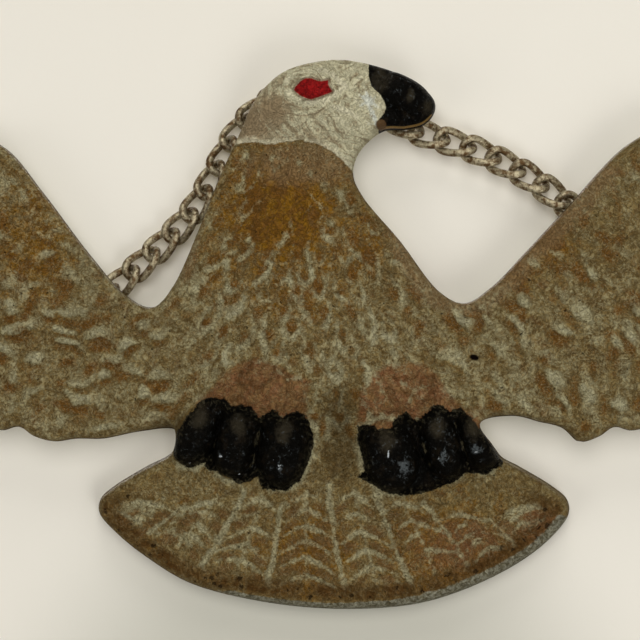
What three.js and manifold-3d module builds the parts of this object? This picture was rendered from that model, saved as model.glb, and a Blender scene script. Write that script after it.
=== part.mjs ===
// A small wall eagle: a relief casting in light alloy that hangs from a nail by a curb chain.
// Millimetres. The bird faces -Y, +Z is up, and the wall is the plane y = 0.
// The origin is the nail: the point on the wall inside the chain's top link.
import * as THREE from "three";
import { mergeVertices } from "three/addons/utils/BufferGeometryUtils.js";
import Module from "manifold-3d";

const wasm = await Module();
wasm.setup();

// Driving dimensions of the casting. Every "front" is how far a face stands out from the wall.
const EDGE_FRONT = 11.0;
const TAIL_ROOT_FRONT = 9.2;
const TAIL_RIM_FRONT = 6.4;
const STAND_OFF = 6.8; // how far the backs of head and outer wings stand off the wall, to clear the chain
const BODY_AXIS = -6.6; // the breast leans a little to the left of the tail's axis

// The breast swells between these depths below the nail, and widens downwards and leans with them.
const BREAST_RISE = 5.2;
const BREAST_TOP = [8, 46];
const BREAST_FOOT = [78, 102];
const BREAST_HALF_WIDTH = [18, 44];
const BREAST_SPREAD = [12, 62];
const BREAST_LEAN = 0.06;
const BREAST_LEAN_FROM = 50;

// Round swellings of the front: centre, then half width and half height.
const HEAD_RISE = 3.2;
const HEAD_SWELL = [-3, -5, 25, 17];
const THIGH_RISE = 3.6;
const THIGH_SWELLS = [[-19, -84.5, 17, 13], [26, -84.5, 17, 13]];

// The body's front turns into the tail's between these depths, inside the wings' lower edges, and the
// tail thins with the distance from the point that its feathers fan out from.
const TAIL_MELT = [86, 97];
const TAIL_ONLY = 98;
const TAIL_FLANK = [44, 52];
const TAIL_FOCUS = -66;
const TAIL_SLOPE = [30, 75];

// Edge of the casting: how far the rounding reaches in, the draft of its side, and the steps between.
const EDGE_ROUND = 2.4;
const EDGE_DRAFT = 0.7;
const EDGE_DROP = 2.2;
const EDGE_STEPS = 2;
const BACK_CHAMFER = 0.5;

// The back recesses: where each ramp starts, where it is at full depth, and where it runs out. The
// wings' are measured from the body's axis and the head's up the wall.
const WING_RECESS = [34, 44, 125];
const WING_RECESS_FOOT = -97.6;
const HEAD_RECESS = [-46, -37, 15];
const RECESS_RUN = 110;
const TOWER_FRONT = 30;
const TOWER_LEAN = 0.2;

// Lattice that the front is drawn on: fine over the body, coarse over the outer wings.
const FIELD_WIDTH = [-120, 112];
const FIELD_HEIGHT = [-146, 12];
const FINE_BAND = [-46, 46];
const FINE_CELL = 4.3;
const COARSE_CELL = 9;
const BEHIND_WALL = 2;

// Curb chain, and the two cast eyes that it hooks into.
const WIRE = 2.1;
const LINK_PITCH = 7.4;
const LINK_WIDTH = 8.2;
const LINK_PLAY = 0.8;
const LINK_SIDES = 5;
const LINK_STEPS = 14;
const LINK_TWIST = 0.7; // how far each end is turned about the link's length
const LINK_ROLL = 0.35; // how far the whole chain has rolled over
const LINK_FULLNESS = 5; // how soon the sides run straight after the round ends
const CHAIN_DEPTH = 3.3; // the chain's middle plane, out from the wall
const EYE_RADIUS = 3.15;
const EYE_WIRE = 0.9;
const EYE_SIDES = 6;
const EYE_STEPS = 14;
const EYE_SHIFT = 0.3; // the rings sit a little nearer the wing than the chain's middle plane
const EYE_FOOT = { top: 1.5, root: 2.1, height: 3.4, sunk: 1.9, sides: 8 };

const { lerp, smoothstep } = THREE.MathUtils;
const flat = (...pairs) => pairs.map(([x, z]) => new THREE.Vector2(x, z));
const mirror = (list, axis) => list.map((p) => new THREE.Vector2(2 * axis - p.x, p.y)).reverse();

// A run of round feather tips along one side of a wing, bulging outwards between valleys: each tip is
// drawn by its valley and two points more, as (share of its length, share of its bulge).
const TIP_SHAPE = [[0, 0], [0.3, 0.85], [0.72, 1]];
const POINTS_PER_TIP = TIP_SHAPE.length;

function featherTips(start, end, count, depth) {
  const along = end.clone().sub(start);
  const out = new THREE.Vector2(along.y, -along.x).normalize();
  const lobes = [];
  for (let i = 0; i < count; i += 1) {
    for (const [share, bulge] of TIP_SHAPE) {
      const base = start.clone().addScaledVector(along, (i + share) / count);
      lobes.push(base.addScaledVector(out, depth * bulge));
    }
  }
  return lobes;
}

// The outline as the wall sees it through the bird: x to the right, z up, turning left all the way
// round from the crown down the nape, left wing, tail, right wing, throat and beak.
const WING_MIRROR = -4.3;
const NAPE = flat([4.3, 6.8], [-5.1, 6.1], [-13.5, 3.2], [-20.9, -4.3], [-24.5, -12.0], [-29.4, -22.7]);
const LEFT_FLANK = flat([-35.2, -37.1], [-42.8, -54.2], [-48.0, -59.4]);
const LEFT_WING_TOP = flat([-54.5, -56.4], [-64.0, -45.9], [-77.2, -28.6]);
const WRIST = flat([-87.5, -16.5], [-97.5, -12.4], [-106.5, -18.0]);
const WING_SIDE = new THREE.Vector2(-110.5, -31.0);
const WING_CORNER = new THREE.Vector2(-112.0, -68.0);
const WING_LOW = new THREE.Vector2(-97.5, -89.5);
const WING_INNER = new THREE.Vector2(-70.0, -95.4);
const OUTER_WING = [
  ...WRIST,
  ...featherTips(WING_SIDE, WING_CORNER, 3, 2.2),
  ...featherTips(WING_CORNER, WING_LOW, 2, 3.0),
  ...featherTips(WING_LOW, WING_INNER, 2, 1.8),
];
const LEFT_WING_FOOT = flat([-67.8, -95.6], [-61.0, -95.6], [-51.3, -93.7], [-42.4, -92.9]);
const LEFT_TOE = flat([-41.9, -96.4], [-43.6, -99.2]);
const TAIL_SIDE = flat([-50.0, -102.6], [-58.9, -108.0], [-62.6, -111.4], [-63.0, -115.2]);
const TAIL_RIM = flat([-58.0, -121.0], [-49.5, -127.6], [-38.5, -134.0], [-21.0, -138.6], [0, -140.8]);
const TAIL_RIM_RIGHT = flat([21.4, -139.6], [35.4, -135.6], [50.0, -128.4], [58.8, -121.6]);
const RIGHT_TOE = flat([45.6, -99.8], [43.4, -96.4], [40.2, -91.2]);
const RIGHT_WING_FOOT = flat([48.6, -89.5], [55.0, -91.0], [61.0, -92.6]);
const RIGHT_WING_TOP = flat([61.8, -34.3], [51.7, -45.1], [42.6, -54.4], [35.6, -58.6]);
const RIGHT_FLANK = flat([29.4, -55.6], [18.6, -41.6], [8.9, -29.8], [6.6, -24.3], [8.2, -18.7]);
const BEAK =
  flat([14.4, -13.3], [20.4, -12.9], [25.3, -11.6], [28.1, -8.6], [28.6, -5.2], [25.8, -1.2], [18.4, 3.2]);

const outlineKnots = [
  ...NAPE,
  ...LEFT_FLANK,
  ...LEFT_WING_TOP,
  ...OUTER_WING,
  ...LEFT_WING_FOOT,
  ...LEFT_TOE,
  ...TAIL_SIDE,
  ...TAIL_RIM,
  ...TAIL_RIM_RIGHT,
  ...mirror(TAIL_SIDE, 0.3),
  ...RIGHT_TOE,
  ...RIGHT_WING_FOOT,
  ...mirror(OUTER_WING, WING_MIRROR),
  ...RIGHT_WING_TOP,
  ...RIGHT_FLANK,
  ...BEAK,
];

// The outline as a closed smooth curve, with two chords from each knot to the next.
function sampleOutline() {
  const curve = new THREE.CatmullRomCurve3(
    outlineKnots.map((p) => new THREE.Vector3(p.x, 0, p.y)),
    true,
    "centripetal",
  );
  return curve.getPoints(2 * outlineKnots.length).slice(0, -1);
}

// Front of the casting above a point of the outline plane, without its carving.
function frontAt(x, z) {
  const below = -z;
  const nearAxis = 1 - smoothstep(Math.abs(x), ...TAIL_FLANK);
  const tailShare = below > TAIL_ONLY ? 1 : smoothstep(below, ...TAIL_MELT) * nearAxis;
  const reach = Math.hypot(x, z - TAIL_FOCUS);
  const tail = lerp(TAIL_ROOT_FRONT, TAIL_RIM_FRONT, smoothstep(reach, ...TAIL_SLOPE));

  const halfWidth = lerp(...BREAST_HALF_WIDTH, smoothstep(below, ...BREAST_SPREAD));
  const middle = BODY_AXIS + BREAST_LEAN * Math.min(0, BREAST_LEAN_FROM - below);
  const across = Math.min(1, Math.abs(x - middle) / halfWidth);
  const along = smoothstep(below, ...BREAST_TOP) * (1 - smoothstep(below, ...BREAST_FOOT));
  const breast = BREAST_RISE * along * Math.cos((across * Math.PI) / 2) ** 2;

  const head = HEAD_RISE * dome(x, z, ...HEAD_SWELL);
  const [left, right] = THIGH_SWELLS.map((swell) => dome(x, z, ...swell));
  const thighs = THIGH_RISE * (left + right);
  return lerp(EDGE_FRONT + breast + head, tail, tailShare) + thighs;
}

// A round swelling that falls from one at its centre to nothing at its rim.
const DOME_FALL = 1.5;

function dome(x, z, centreX, centreZ, radiusX, radiusZ) {
  const r = Math.min(1, Math.hypot((x - centreX) / radiusX, (z - centreZ) / radiusZ));
  return Math.cos((r * Math.PI) / 2) ** DOME_FALL;
}

const WELD = 1e-4; // points closer than this are one point

function toSolid(geometry) {
  const bare = geometry.clone();
  bare.deleteAttribute("normal");
  bare.deleteAttribute("uv");
  const merged = mergeVertices(bare, WELD);
  const solid = new wasm.Manifold(
    new wasm.Mesh({
      numProp: 3,
      vertProperties: merged.attributes.position.array,
      triVerts: new Uint32Array(merged.index.array),
    }),
  );
  if (solid.volume() <= 0) {
    throw new Error("a form is inside out");
  }
  return solid;
}

function toGeometry(solid) {
  const mesh = solid.getMesh();
  const geometry = new THREE.BufferGeometry();
  geometry.setAttribute("position", new THREE.BufferAttribute(mesh.vertProperties, 3));
  geometry.setIndex(new THREE.BufferAttribute(mesh.triVerts, 1));
  geometry.computeVertexNormals();
  return geometry;
}

// A solid through rings of points that run from back to front, each ring turning left seen from in front.
function ringSolid(rings) {
  const count = rings[0].length;
  const contour = rings[0].map((p) => new THREE.Vector2(p.x, p.z));
  const index = [];
  for (let r = 0; r + 1 < rings.length; r += 1) {
    for (let i = 0; i < count; i += 1) {
      const a = r * count + i;
      const b = r * count + ((i + 1) % count);
      index.push(a, b, b + count, a, b + count, a + count);
    }
  }
  const last = (rings.length - 1) * count;
  for (const [a, b, c] of THREE.ShapeUtils.triangulateShape(contour, [])) {
    index.push(a, c, b, last + a, last + b, last + c);
  }
  return new THREE.BufferGeometry().setFromPoints(rings.flat()).setIndex(index);
}

// The outline as a tower: chamfered back, drafted side, rounded front edge, then straight up past the
// carving, so that it trims the front field to the outline and rolls its edge at once.
function outlineTower() {
  const edge = sampleOutline();
  const inward = edge.map((p, i) => {
    const before = edge[(i + edge.length - 1) % edge.length];
    const after = edge[(i + 1) % edge.length];
    return new THREE.Vector3(before.z - after.z, 0, after.x - before.x).normalize();
  });
  const ringAt = (inset, frontOf) =>
    edge.map((p, i) => {
      const q = p.clone().addScaledVector(inward[i], inset);
      q.y = -frontOf(q);
      return q;
    });
  const rings = [ringAt(BACK_CHAMFER, () => 0), ringAt(0, () => BACK_CHAMFER)];
  for (let step = 0; step <= EDGE_STEPS; step += 1) {
    const turn = (step / EDGE_STEPS) * (Math.PI / 2);
    const inset = EDGE_DRAFT + (EDGE_ROUND - EDGE_DRAFT) * (1 - Math.cos(turn));
    rings.push(ringAt(inset, (q) => frontAt(q.x, q.z) - EDGE_DROP * (1 - Math.sin(turn))));
  }
  rings.push(ringAt(EDGE_ROUND + TOWER_LEAN, () => TOWER_FRONT));
  return toSolid(ringSolid(rings));
}

// Lattice lines from low to high: fine ones inside the given band, coarse ones outside it.
function latticeLines(low, high, [bandLow, bandHigh]) {
  const lines = [];
  let line = low;
  while (line < high) {
    lines.push(line);
    const inBand = line >= bandLow - COARSE_CELL && line < bandHigh;
    line += inBand ? FINE_CELL : COARSE_CELL;
  }
  return [...lines, high];
}

// The front face as a lattice over the whole bird, closed by a flat back behind the wall plane.
function frontField() {
  const xs = latticeLines(...FIELD_WIDTH, FINE_BAND);
  const zs = latticeLines(...FIELD_HEIGHT, FIELD_HEIGHT);
  const vertices = [];
  for (const z of zs) {
    for (const x of xs) {
      vertices.push(new THREE.Vector3(x, -frontAt(x, z), z));
    }
  }
  const at = (i, j) => j * xs.length + i;
  const index = [];
  for (let j = 0; j + 1 < zs.length; j += 1) {
    for (let i = 0; i + 1 < xs.length; i += 1) {
      index.push(at(i, j), at(i + 1, j), at(i + 1, j + 1));
      index.push(at(i, j), at(i + 1, j + 1), at(i, j + 1));
    }
  }
  const [lastColumn, lastRow] = [xs.length - 1, zs.length - 1];
  const rim = [
    ...xs.slice(1).map((unused, i) => at(i, 0)),
    ...zs.slice(1).map((unused, j) => at(lastColumn, j)),
    ...xs.slice(1).map((unused, i) => at(lastColumn - i, lastRow)),
    ...zs.slice(1).map((unused, j) => at(0, lastRow - j)),
  ];
  const backStart = vertices.length;
  for (const v of rim) {
    vertices.push(new THREE.Vector3(vertices[v].x, BEHIND_WALL, vertices[v].z));
  }
  const centre = vertices.length;
  vertices.push(new THREE.Vector3(0, BEHIND_WALL, TAIL_FOCUS));
  for (let k = 0; k < rim.length; k += 1) {
    const next = (k + 1) % rim.length;
    index.push(backStart + k, backStart + next, rim[next], backStart + k, rim[next], rim[k]);
    index.push(centre, backStart + next, backStart + k);
  }
  return toSolid(new THREE.BufferGeometry().setFromPoints(vertices).setIndex(index));
}

// A cutter for the back, drawn as (distance, out from the wall) and extruded across the bird.
function recess(profile, length) {
  const shape = new THREE.Shape(flat(...profile));
  return new THREE.ExtrudeGeometry(shape, { depth: length, bevelEnabled: false });
}

// Room behind the outer wings and the head, so that the chain passes between them and the wall.
function backRecesses() {
  const profile = ([start, full, end]) =>
    [[start, BEHIND_WALL], [start, 0], [full, -STAND_OFF], [end, -STAND_OFF], [end, BEHIND_WALL]];
  const wing = profile(WING_RECESS);
  const otherWing = wing.map(([u, v]) => [-u, v]);
  return [
    recess(wing, RECESS_RUN).translate(BODY_AXIS, 0, WING_RECESS_FOOT),
    recess(otherWing, RECESS_RUN).translate(BODY_AXIS, 0, WING_RECESS_FOOT),
    recess(profile(HEAD_RECESS), RECESS_RUN).rotateY(-Math.PI / 2).translate(RECESS_RUN / 2, 0, 0),
  ].map(toSolid);
}

// Half the section of a toe, from tip to tip: blunter than an egg.
const TOE_STEPS = 7;
const TOE_SIDES = 10;
const TOE_BLUNTNESS = 2.6;
const TOE_PROFILE = Array.from({ length: TOE_STEPS + 1 }, (unused, i) => {
  const height = -Math.cos((i / TOE_STEPS) * Math.PI);
  return new THREE.Vector2(Math.abs(1 - Math.abs(height) ** TOE_BLUNTNESS) ** 0.5, height);
});

// A rounded form from one point of the outline plane to another, past which its tips reach a little.
const TIP_SHARE = 0.55;

function sausage([x0, z0], [x1, z1], halfWidth, front, depth) {
  const run = Math.hypot(x1 - x0, z1 - z0);
  const form = new THREE.LatheGeometry(TOE_PROFILE, TOE_SIDES).rotateX(Math.PI / 2);
  form.scale(halfWidth, depth, run / 2 + halfWidth * TIP_SHARE);
  form.rotateY(Math.atan2(x1 - x0, z1 - z0));
  form.translate((x0 + x1) / 2, depth - front, (z0 + z1) / 2);
  return toSolid(form);
}

// Three toes a foot, from under the thigh down and outwards, each from its knuckle to its claw.
const TOE_FRONT = 15.2;
const TOE_DEPTH = 7.2;
const LEFT_TOES = [
  { knuckle: [-33.0, -87.0], claw: [-38.2, -99.0], halfWidth: 5.9 },
  { knuckle: [-23.4, -87.4], claw: [-26.4, -102.6], halfWidth: 5.8 },
  { knuckle: [-11.8, -89.4], claw: [-13.2, -104.2], halfWidth: 7.0 },
];
const RIGHT_TOES = [
  { knuckle: [14.6, -92.4], claw: [17.2, -105.2], halfWidth: 7.4 },
  { knuckle: [27.4, -88.2], claw: [31.0, -102.6], halfWidth: 5.8 },
  { knuckle: [36.6, -89.2], claw: [41.0, -100.0], halfWidth: 5.4 },
];

function toes() {
  return [...LEFT_TOES, ...RIGHT_TOES].map(({ knuckle, claw, halfWidth }) =>
    sausage(knuckle, claw, halfWidth, TOE_FRONT, TOE_DEPTH),
  );
}

// The beak's ridge, which runs down to its hook.
const BEAK_RIDGE = { root: [15.5, -1.0], hook: [23.5, -5.4], halfWidth: 5.2, rise: 2.6, depth: 3.4 };

function beakRidge() {
  const { root, hook, halfWidth, rise, depth } = BEAK_RIDGE;
  return sausage(root, hook, halfWidth, EDGE_FRONT + rise, depth);
}

// A V-shaped groove in the front between two points. Its cutter is a four-sided bar whose widest edges
// run just above the surface, so that only its lower edge cuts.
const GROOVE_LIFT = 0.8;
const BAR_SIDES = 4;

function groove([x0, z0], [x1, z1], width, depth) {
  const from = new THREE.Vector3(x0, -frontAt(x0, z0) - GROOVE_LIFT, z0);
  const to = new THREE.Vector3(x1, -frontAt(x1, z1) - GROOVE_LIFT, z1);
  const cutter = new THREE.CylinderGeometry(1, 1, from.distanceTo(to), BAR_SIDES);
  const halfDepth = depth + GROOVE_LIFT;
  cutter.scale((width * halfDepth) / (2 * depth), 1, halfDepth);
  const along = to.clone().sub(from).normalize();
  const side = new THREE.Vector3().crossVectors(along, new THREE.Vector3(0, 1, 0)).normalize();
  const frame = new THREE.Matrix4().makeBasis(side, along, new THREE.Vector3().crossVectors(side, along));
  frame.setPosition(from.lerp(to, 0.5));
  return toSolid(cutter.applyMatrix4(frame));
}

// Grooves between the tail feathers, fanning out from under the feet to just short of the rim.
const TAIL_GROOVES = { aside: 3, width: 2.4, depth: 1.1 };
const GROOVE_TOPS = { pitch: 13, middle: -108.5, droop: 0.55 };
const GROOVE_FEET = { pitch: 17, middle: -136.2, rise: 1.45, lean: 2.2 };

function tailGrooves() {
  const { aside, width, depth } = TAIL_GROOVES;
  const cutters = [];
  for (let k = -aside; k <= aside; k += 1) {
    const lean = GROOVE_FEET.lean * (1 - Math.abs(k) / aside);
    const top = [GROOVE_TOPS.pitch * k, GROOVE_TOPS.middle - GROOVE_TOPS.droop * k * k];
    const foot = [GROOVE_FEET.pitch * k + lean, GROOVE_FEET.middle + GROOVE_FEET.rise * k * k];
    cutters.push(groove(top, foot, width, depth));
  }
  return cutters;
}

// Grooves between the long feathers of the outer wings, from the arm to every valley of the edge.
const ARM = new THREE.Vector2(-80, -42);
const WING_GROOVES = { from: 0.05, to: 0.62, width: 1.8, depth: 0.8 };

function wingGrooves() {
  const { from, to, width, depth } = WING_GROOVES;
  const cutters = [];
  for (let i = WRIST.length; i < OUTER_WING.length; i += POINTS_PER_TIP) {
    const ends = [from, to].map((share) => OUTER_WING[i].clone().lerp(ARM, share));
    for (const [a, b] of [ends, mirror(ends, WING_MIRROR)]) {
      cutters.push(groove([a.x, a.y], [b.x, b.y], width, depth));
    }
  }
  return cutters;
}

// The rim carved round the eye: a ring drawn out sideways.
const EYE_CENTRE = [-5.0, -1.4];
const EYE_RIM = { radius: 3.9, cut: 0.6, sides: 5, steps: 16, wide: 1.2, high: 0.78 };

function eyeRim() {
  const [x, z] = EYE_CENTRE;
  const ring = new THREE.TorusGeometry(EYE_RIM.radius, EYE_RIM.cut, EYE_RIM.sides, EYE_RIM.steps);
  ring.scale(EYE_RIM.wide, EYE_RIM.high, 1).rotateX(Math.PI / 2);
  return toSolid(ring.translate(x, -frontAt(x, z), z));
}

// The chain's route behind the head and wings, seen from the front.
const ROUTE = flat(
  [-70.5, -65.0], [-55.9, -51.8], [-47.7, -44.4], [-37.4, -33.6], [-30.7, -21.6], [-25.0, -11.2],
  [-17.0, -3.6], [0, -0.2], [11.0, -5.2], [23.4, -12.2], [38.0, -16.9], [53.4, -24.7], [74.0, -40.9],
);

const ROUTE_STEPS = 800;

function chainRoute() {
  const route = new THREE.CatmullRomCurve3(
    ROUTE.map((p) => new THREE.Vector3(p.x, -CHAIN_DEPTH, p.y)),
    false,
    "centripetal",
  );
  route.arcLengthDivisions = ROUTE_STEPS;
  return route;
}

// The wire of one curb link: a round-ended loop whose two ends are twisted opposite ways.
class LinkWire extends THREE.Curve {
  getPoint(t) {
    const round = (LINK_WIDTH - WIRE) / 2;
    const half = (LINK_PITCH + WIRE + LINK_PLAY) / 2;
    const straight = half - round;
    const turn = t * 2 * Math.PI;
    const along = straight * Math.tanh(LINK_FULLNESS * Math.cos(turn)) + round * Math.cos(turn);
    const out = round * Math.sin(turn);
    const twist = LINK_ROLL + (LINK_TWIST * along) / half;
    return new THREE.Vector3(along, out * Math.sin(twist), out * Math.cos(twist));
  }
}

// A wire bent into a closed loop: rings of a round section joined end to end.
function loopedWire(curve, radius, steps, sides) {
  const vertices = [];
  const index = [];
  const frames = curve.computeFrenetFrames(steps, true);
  for (let i = 0; i < steps; i += 1) {
    const centre = curve.getPointAt(i / steps);
    for (let k = 0; k < sides; k += 1) {
      const turn = ((k + 0.5) / sides) * 2 * Math.PI;
      vertices.push(
        centre
          .clone()
          .addScaledVector(frames.normals[i], radius * Math.cos(turn))
          .addScaledVector(frames.binormals[i], radius * Math.sin(turn)),
      );
      const nextRing = ((i + 1) % steps) * sides;
      const nextSide = (k + 1) % sides;
      const a = i * sides + k;
      const b = i * sides + nextSide;
      index.push(a, b, nextRing + nextSide, a, nextRing + nextSide, nextRing + k);
    }
  }
  return new THREE.BufferGeometry().setFromPoints(vertices).setIndex(index);
}

// A cast eye on the back of a wing: a ring set across the chain's last link, on a short foot.
function castEye(centre, direction, tilt) {
  const along = direction.clone().normalize();
  const up = new THREE.Vector3(0, 1, 0).applyAxisAngle(along, tilt);
  const basis = new THREE.Matrix4().makeBasis(along, up, new THREE.Vector3().crossVectors(along, up));
  basis.setPosition(centre);
  const ring = new THREE.TorusGeometry(EYE_RADIUS, EYE_WIRE, EYE_SIDES, EYE_STEPS).applyMatrix4(basis);
  const { top, root, height, sunk, sides } = EYE_FOOT;
  const footTop = new THREE.Vector3(0, -EYE_RADIUS, 0).applyMatrix4(basis);
  const foot = new THREE.CylinderGeometry(top, root, height, sides);
  foot.rotateX(Math.PI);
  foot.translate(footTop.x, footTop.y - sunk, footTop.z);
  return toSolid(ring).add(toSolid(foot));
}

const paintedMetal = new THREE.MeshStandardMaterial({ color: 0x6e5f41, roughness: 0.62, metalness: 0.05 });
const bird = new THREE.Group();

// Links from the left eye to the right one, every joint of the chain on the route.
const route = chainRoute();
const linkCount = Math.round(route.getLength() / LINK_PITCH);
const joints = Array.from({ length: linkCount + 1 }, (unused, i) => route.getPointAt(i / linkCount));
const chain = new THREE.Group();
for (let i = 0; i < linkCount; i += 1) {
  const wire = loopedWire(new LinkWire(), WIRE / 2, LINK_STEPS, LINK_SIDES);
  const nickel = new THREE.MeshStandardMaterial({ color: 0x8f8468, roughness: 0.4, metalness: 0.9 });
  const link = new THREE.Mesh(wire, nickel);
  link.name = `chain_link_${String(i + 1).padStart(2, "0")}`;
  link.position.copy(joints[i]).lerp(joints[i + 1], 0.5);
  const run = joints[i + 1].clone().sub(joints[i]);
  link.rotation.y = -Math.atan2(run.z, run.x);
  chain.add(link);
}

// Each eye's ring holds the tip of its link with the same play as two links have.
const eyeBack = EYE_RADIUS - EYE_WIRE - WIRE / 2 - LINK_PLAY;
const tipBeyondJoint = (WIRE + LINK_PLAY) / 2;
function eyeAt(joint, next, tilt) {
  const inwards = next.clone().sub(joint).normalize();
  const centre = joint.clone().addScaledVector(inwards, eyeBack - tipBeyondJoint);
  centre.y -= EYE_SHIFT;
  return castEye(centre, inwards, tilt);
}

let eagleSolid = frontField().intersect(outlineTower());
for (const cutter of backRecesses()) {
  eagleSolid = eagleSolid.subtract(cutter);
}
for (const form of [...toes(), beakRidge()]) {
  eagleSolid = eagleSolid.add(form);
}
for (const cutter of [...tailGrooves(), ...wingGrooves(), eyeRim()]) {
  eagleSolid = eagleSolid.subtract(cutter);
}
const lastJoint = joints[linkCount];
eagleSolid = eagleSolid.add(eyeAt(joints[0], joints[1], LINK_TWIST));
eagleSolid = eagleSolid.add(eyeAt(lastJoint, joints[linkCount - 1], LINK_TWIST));

const eagle = new THREE.Mesh(toGeometry(eagleSolid), paintedMetal);
eagle.name = "eagle";
bird.add(eagle, chain);

export default bird;
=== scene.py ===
import math

import bmesh
import bpy
import numpy as np
from mathutils import Matrix, Quaternion, Vector, noise
from mathutils.kdtree import KDTree


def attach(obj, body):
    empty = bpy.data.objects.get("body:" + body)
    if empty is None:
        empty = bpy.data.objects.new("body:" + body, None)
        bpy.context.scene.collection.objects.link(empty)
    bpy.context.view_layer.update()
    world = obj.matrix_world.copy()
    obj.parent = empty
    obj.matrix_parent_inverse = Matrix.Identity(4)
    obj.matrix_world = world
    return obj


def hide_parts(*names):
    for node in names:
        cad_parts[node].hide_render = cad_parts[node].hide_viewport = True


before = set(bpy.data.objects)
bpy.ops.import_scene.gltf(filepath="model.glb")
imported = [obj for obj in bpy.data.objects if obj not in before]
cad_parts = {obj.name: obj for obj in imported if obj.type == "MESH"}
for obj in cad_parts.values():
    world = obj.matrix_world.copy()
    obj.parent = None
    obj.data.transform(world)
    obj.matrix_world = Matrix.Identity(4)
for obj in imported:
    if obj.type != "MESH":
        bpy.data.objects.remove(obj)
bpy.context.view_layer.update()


# The camera looks nearly square on at the bird's middle, from a little to its right and a little below,
# so that the lower right edges show. The frame cuts off both wing tips, as the photograph does.
MM = 0.001
VIEW_CENTRE = Vector((-3.0, -3.0, -63.2)) * MM
VIEW_WIDTH = 172.8 * MM
VIEW_DISTANCE = 450 * MM
VIEW_RIGHT = math.radians(2.5)
VIEW_BELOW = math.radians(3)
SENSOR = 36


def in_scene(name, data):
    thing = bpy.data.objects.new(name, data)
    bpy.context.scene.collection.objects.link(thing)
    return thing


view_line = Vector((math.sin(VIEW_RIGHT) * math.cos(VIEW_BELOW),
                    -math.cos(VIEW_RIGHT) * math.cos(VIEW_BELOW),
                    -math.sin(VIEW_BELOW)))
camera_data = bpy.data.cameras.new("photo_view")
camera_data.sensor_width = SENSOR
camera_data.lens = SENSOR * VIEW_DISTANCE / VIEW_WIDTH
camera = in_scene("photo_view", camera_data)
camera.location = VIEW_CENTRE + view_line * VIEW_DISTANCE
camera.rotation_euler = view_line.to_track_quat("Z", "Y").to_euler()
bpy.context.scene.camera = camera
bpy.context.scene.view_settings.view_transform = "Standard"


# The bird hangs flat on a warm white wall, with a painted shadow low down that stands for the shade of
# something below the frame. The wall is clear from behind and lets light through to the bird's back, so
# that the back can be looked at.
def colour(red, green, blue):
    """A paint's colour as it is mixed, from its shade on a chart of 0 to 255."""
    return (*[(c / 255 / 12.92 if c < 10.3 else ((c / 255 + 0.055) / 1.055) ** 2.4)
              for c in (red, green, blue)], 1)


class Recipe:
    """A finish that is built up one node at a time, from the ground coat to the last touch."""

    def __init__(self, name):
        self.material = bpy.data.materials.new(name)
        self.material.use_nodes = True
        self.tree = self.material.node_tree
        self.shader = self.tree.nodes["Principled BSDF"]
        self.place = self.tree.nodes.new("ShaderNodeTexCoord").outputs["Object"]

    def add(self, kind, values, out=0, **settings):
        node = self.tree.nodes.new("ShaderNode" + kind)
        for key, value in settings.items():
            setattr(node, key, value)
        for key, value in values.items():
            self.feed(node.inputs[key], value)
        return node.outputs[out]

    def feed(self, socket, value):
        """Sets an input to a number, another node's output or, by its name, a field of the mesh."""
        if isinstance(value, str):
            value = self.add("Attribute", {}, out="Fac", attribute_name=value)
        if isinstance(value, bpy.types.NodeSocket):
            self.tree.links.new(value, socket)
        else:
            socket.default_value = value

    def surface(self, values):
        for key, value in values.items():
            self.feed(self.shader.inputs[key], value)

    def bump(self, height, strength, distance):
        return self.add("Bump", {"Height": height, "Strength": strength, "Distance": distance})

    def sums(self, operation, a, b=0.0, c=0.0):
        return self.add("Math", {0: a, 1: b, 2: c}, operation=operation)

    def cloud(self, scale, detail=3.0, roughness=0.5, place=None, swirl=0.0):
        return self.add("TexNoise", {"Vector": place or self.place, "Scale": scale, "Detail": detail,
                                     "Roughness": roughness, "Distortion": swirl})

    def cover(self, share, under, over):
        return self.add("Mix", {0: share, 6: under, 7: over}, out=2, data_type="RGBA")

    def step(self, value, low, high, bottom=0.0, top=1.0):
        return self.add("MapRange", {0: value, 1: low, 2: high, 3: bottom, 4: top},
                        interpolation_type="SMOOTHSTEP")

    def coat(self, under, over, value, low, high, share=1.0):
        """One colour laid on another where a value rises from low to high, at most up to a share."""
        return self.cover(self.step(value, low, high, 0, share), under, over)

    def blend(self, share, under, over):
        return self.add("Mix", {0: share, 2: under, 3: over}, data_type="FLOAT")

    def times(self, a, b):
        return self.sums("MULTIPLY", a, b)

    def plus(self, value, other, amount):
        return self.sums("MULTIPLY_ADD", other, amount, value)

    def without(self, share):
        return self.sums("SUBTRACT", 1.0, share)

    def apart(self, value, level):
        """How far a value is from a level, which is least along a thin line."""
        return self.sums("ABSOLUTE", self.sums("SUBTRACT", value, level))

    def broken(self, value, cloud, amount):
        """A value driven up and down by a cloud, by half an amount either way."""
        return self.plus(self.sums("SUBTRACT", value, amount / 2), cloud, amount)

    def dab(self, under, over, value, cloud, amount, low, high, share=1.0):
        """A coat whose edge a cloud has broken up."""
        return self.coat(under, over, self.broken(value, cloud, amount), low, high, share)

    def ragged(self, field, wander, soft, cloud):
        """Where a field is above nought, with an edge that wanders as a brush leaves it."""
        return self.step(self.broken(field, cloud, wander), -soft, soft)


WALL_SIZE = 3000 * MM
WALL_GAP = 0.15 * MM
PLASTER, PLASTER_PALE, PLASTER_PAINTED_SHADOW = colour(231, 227, 217), colour(235, 232, 223), colour(197, 196, 185)
PAINTED_SHADOW_CENTRE, PAINTED_SHADOW_OUTSIDE, PAINTED_SHADOW_INSIDE = (-0.004, 0.0, -0.185), 0.10, 0.045

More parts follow.
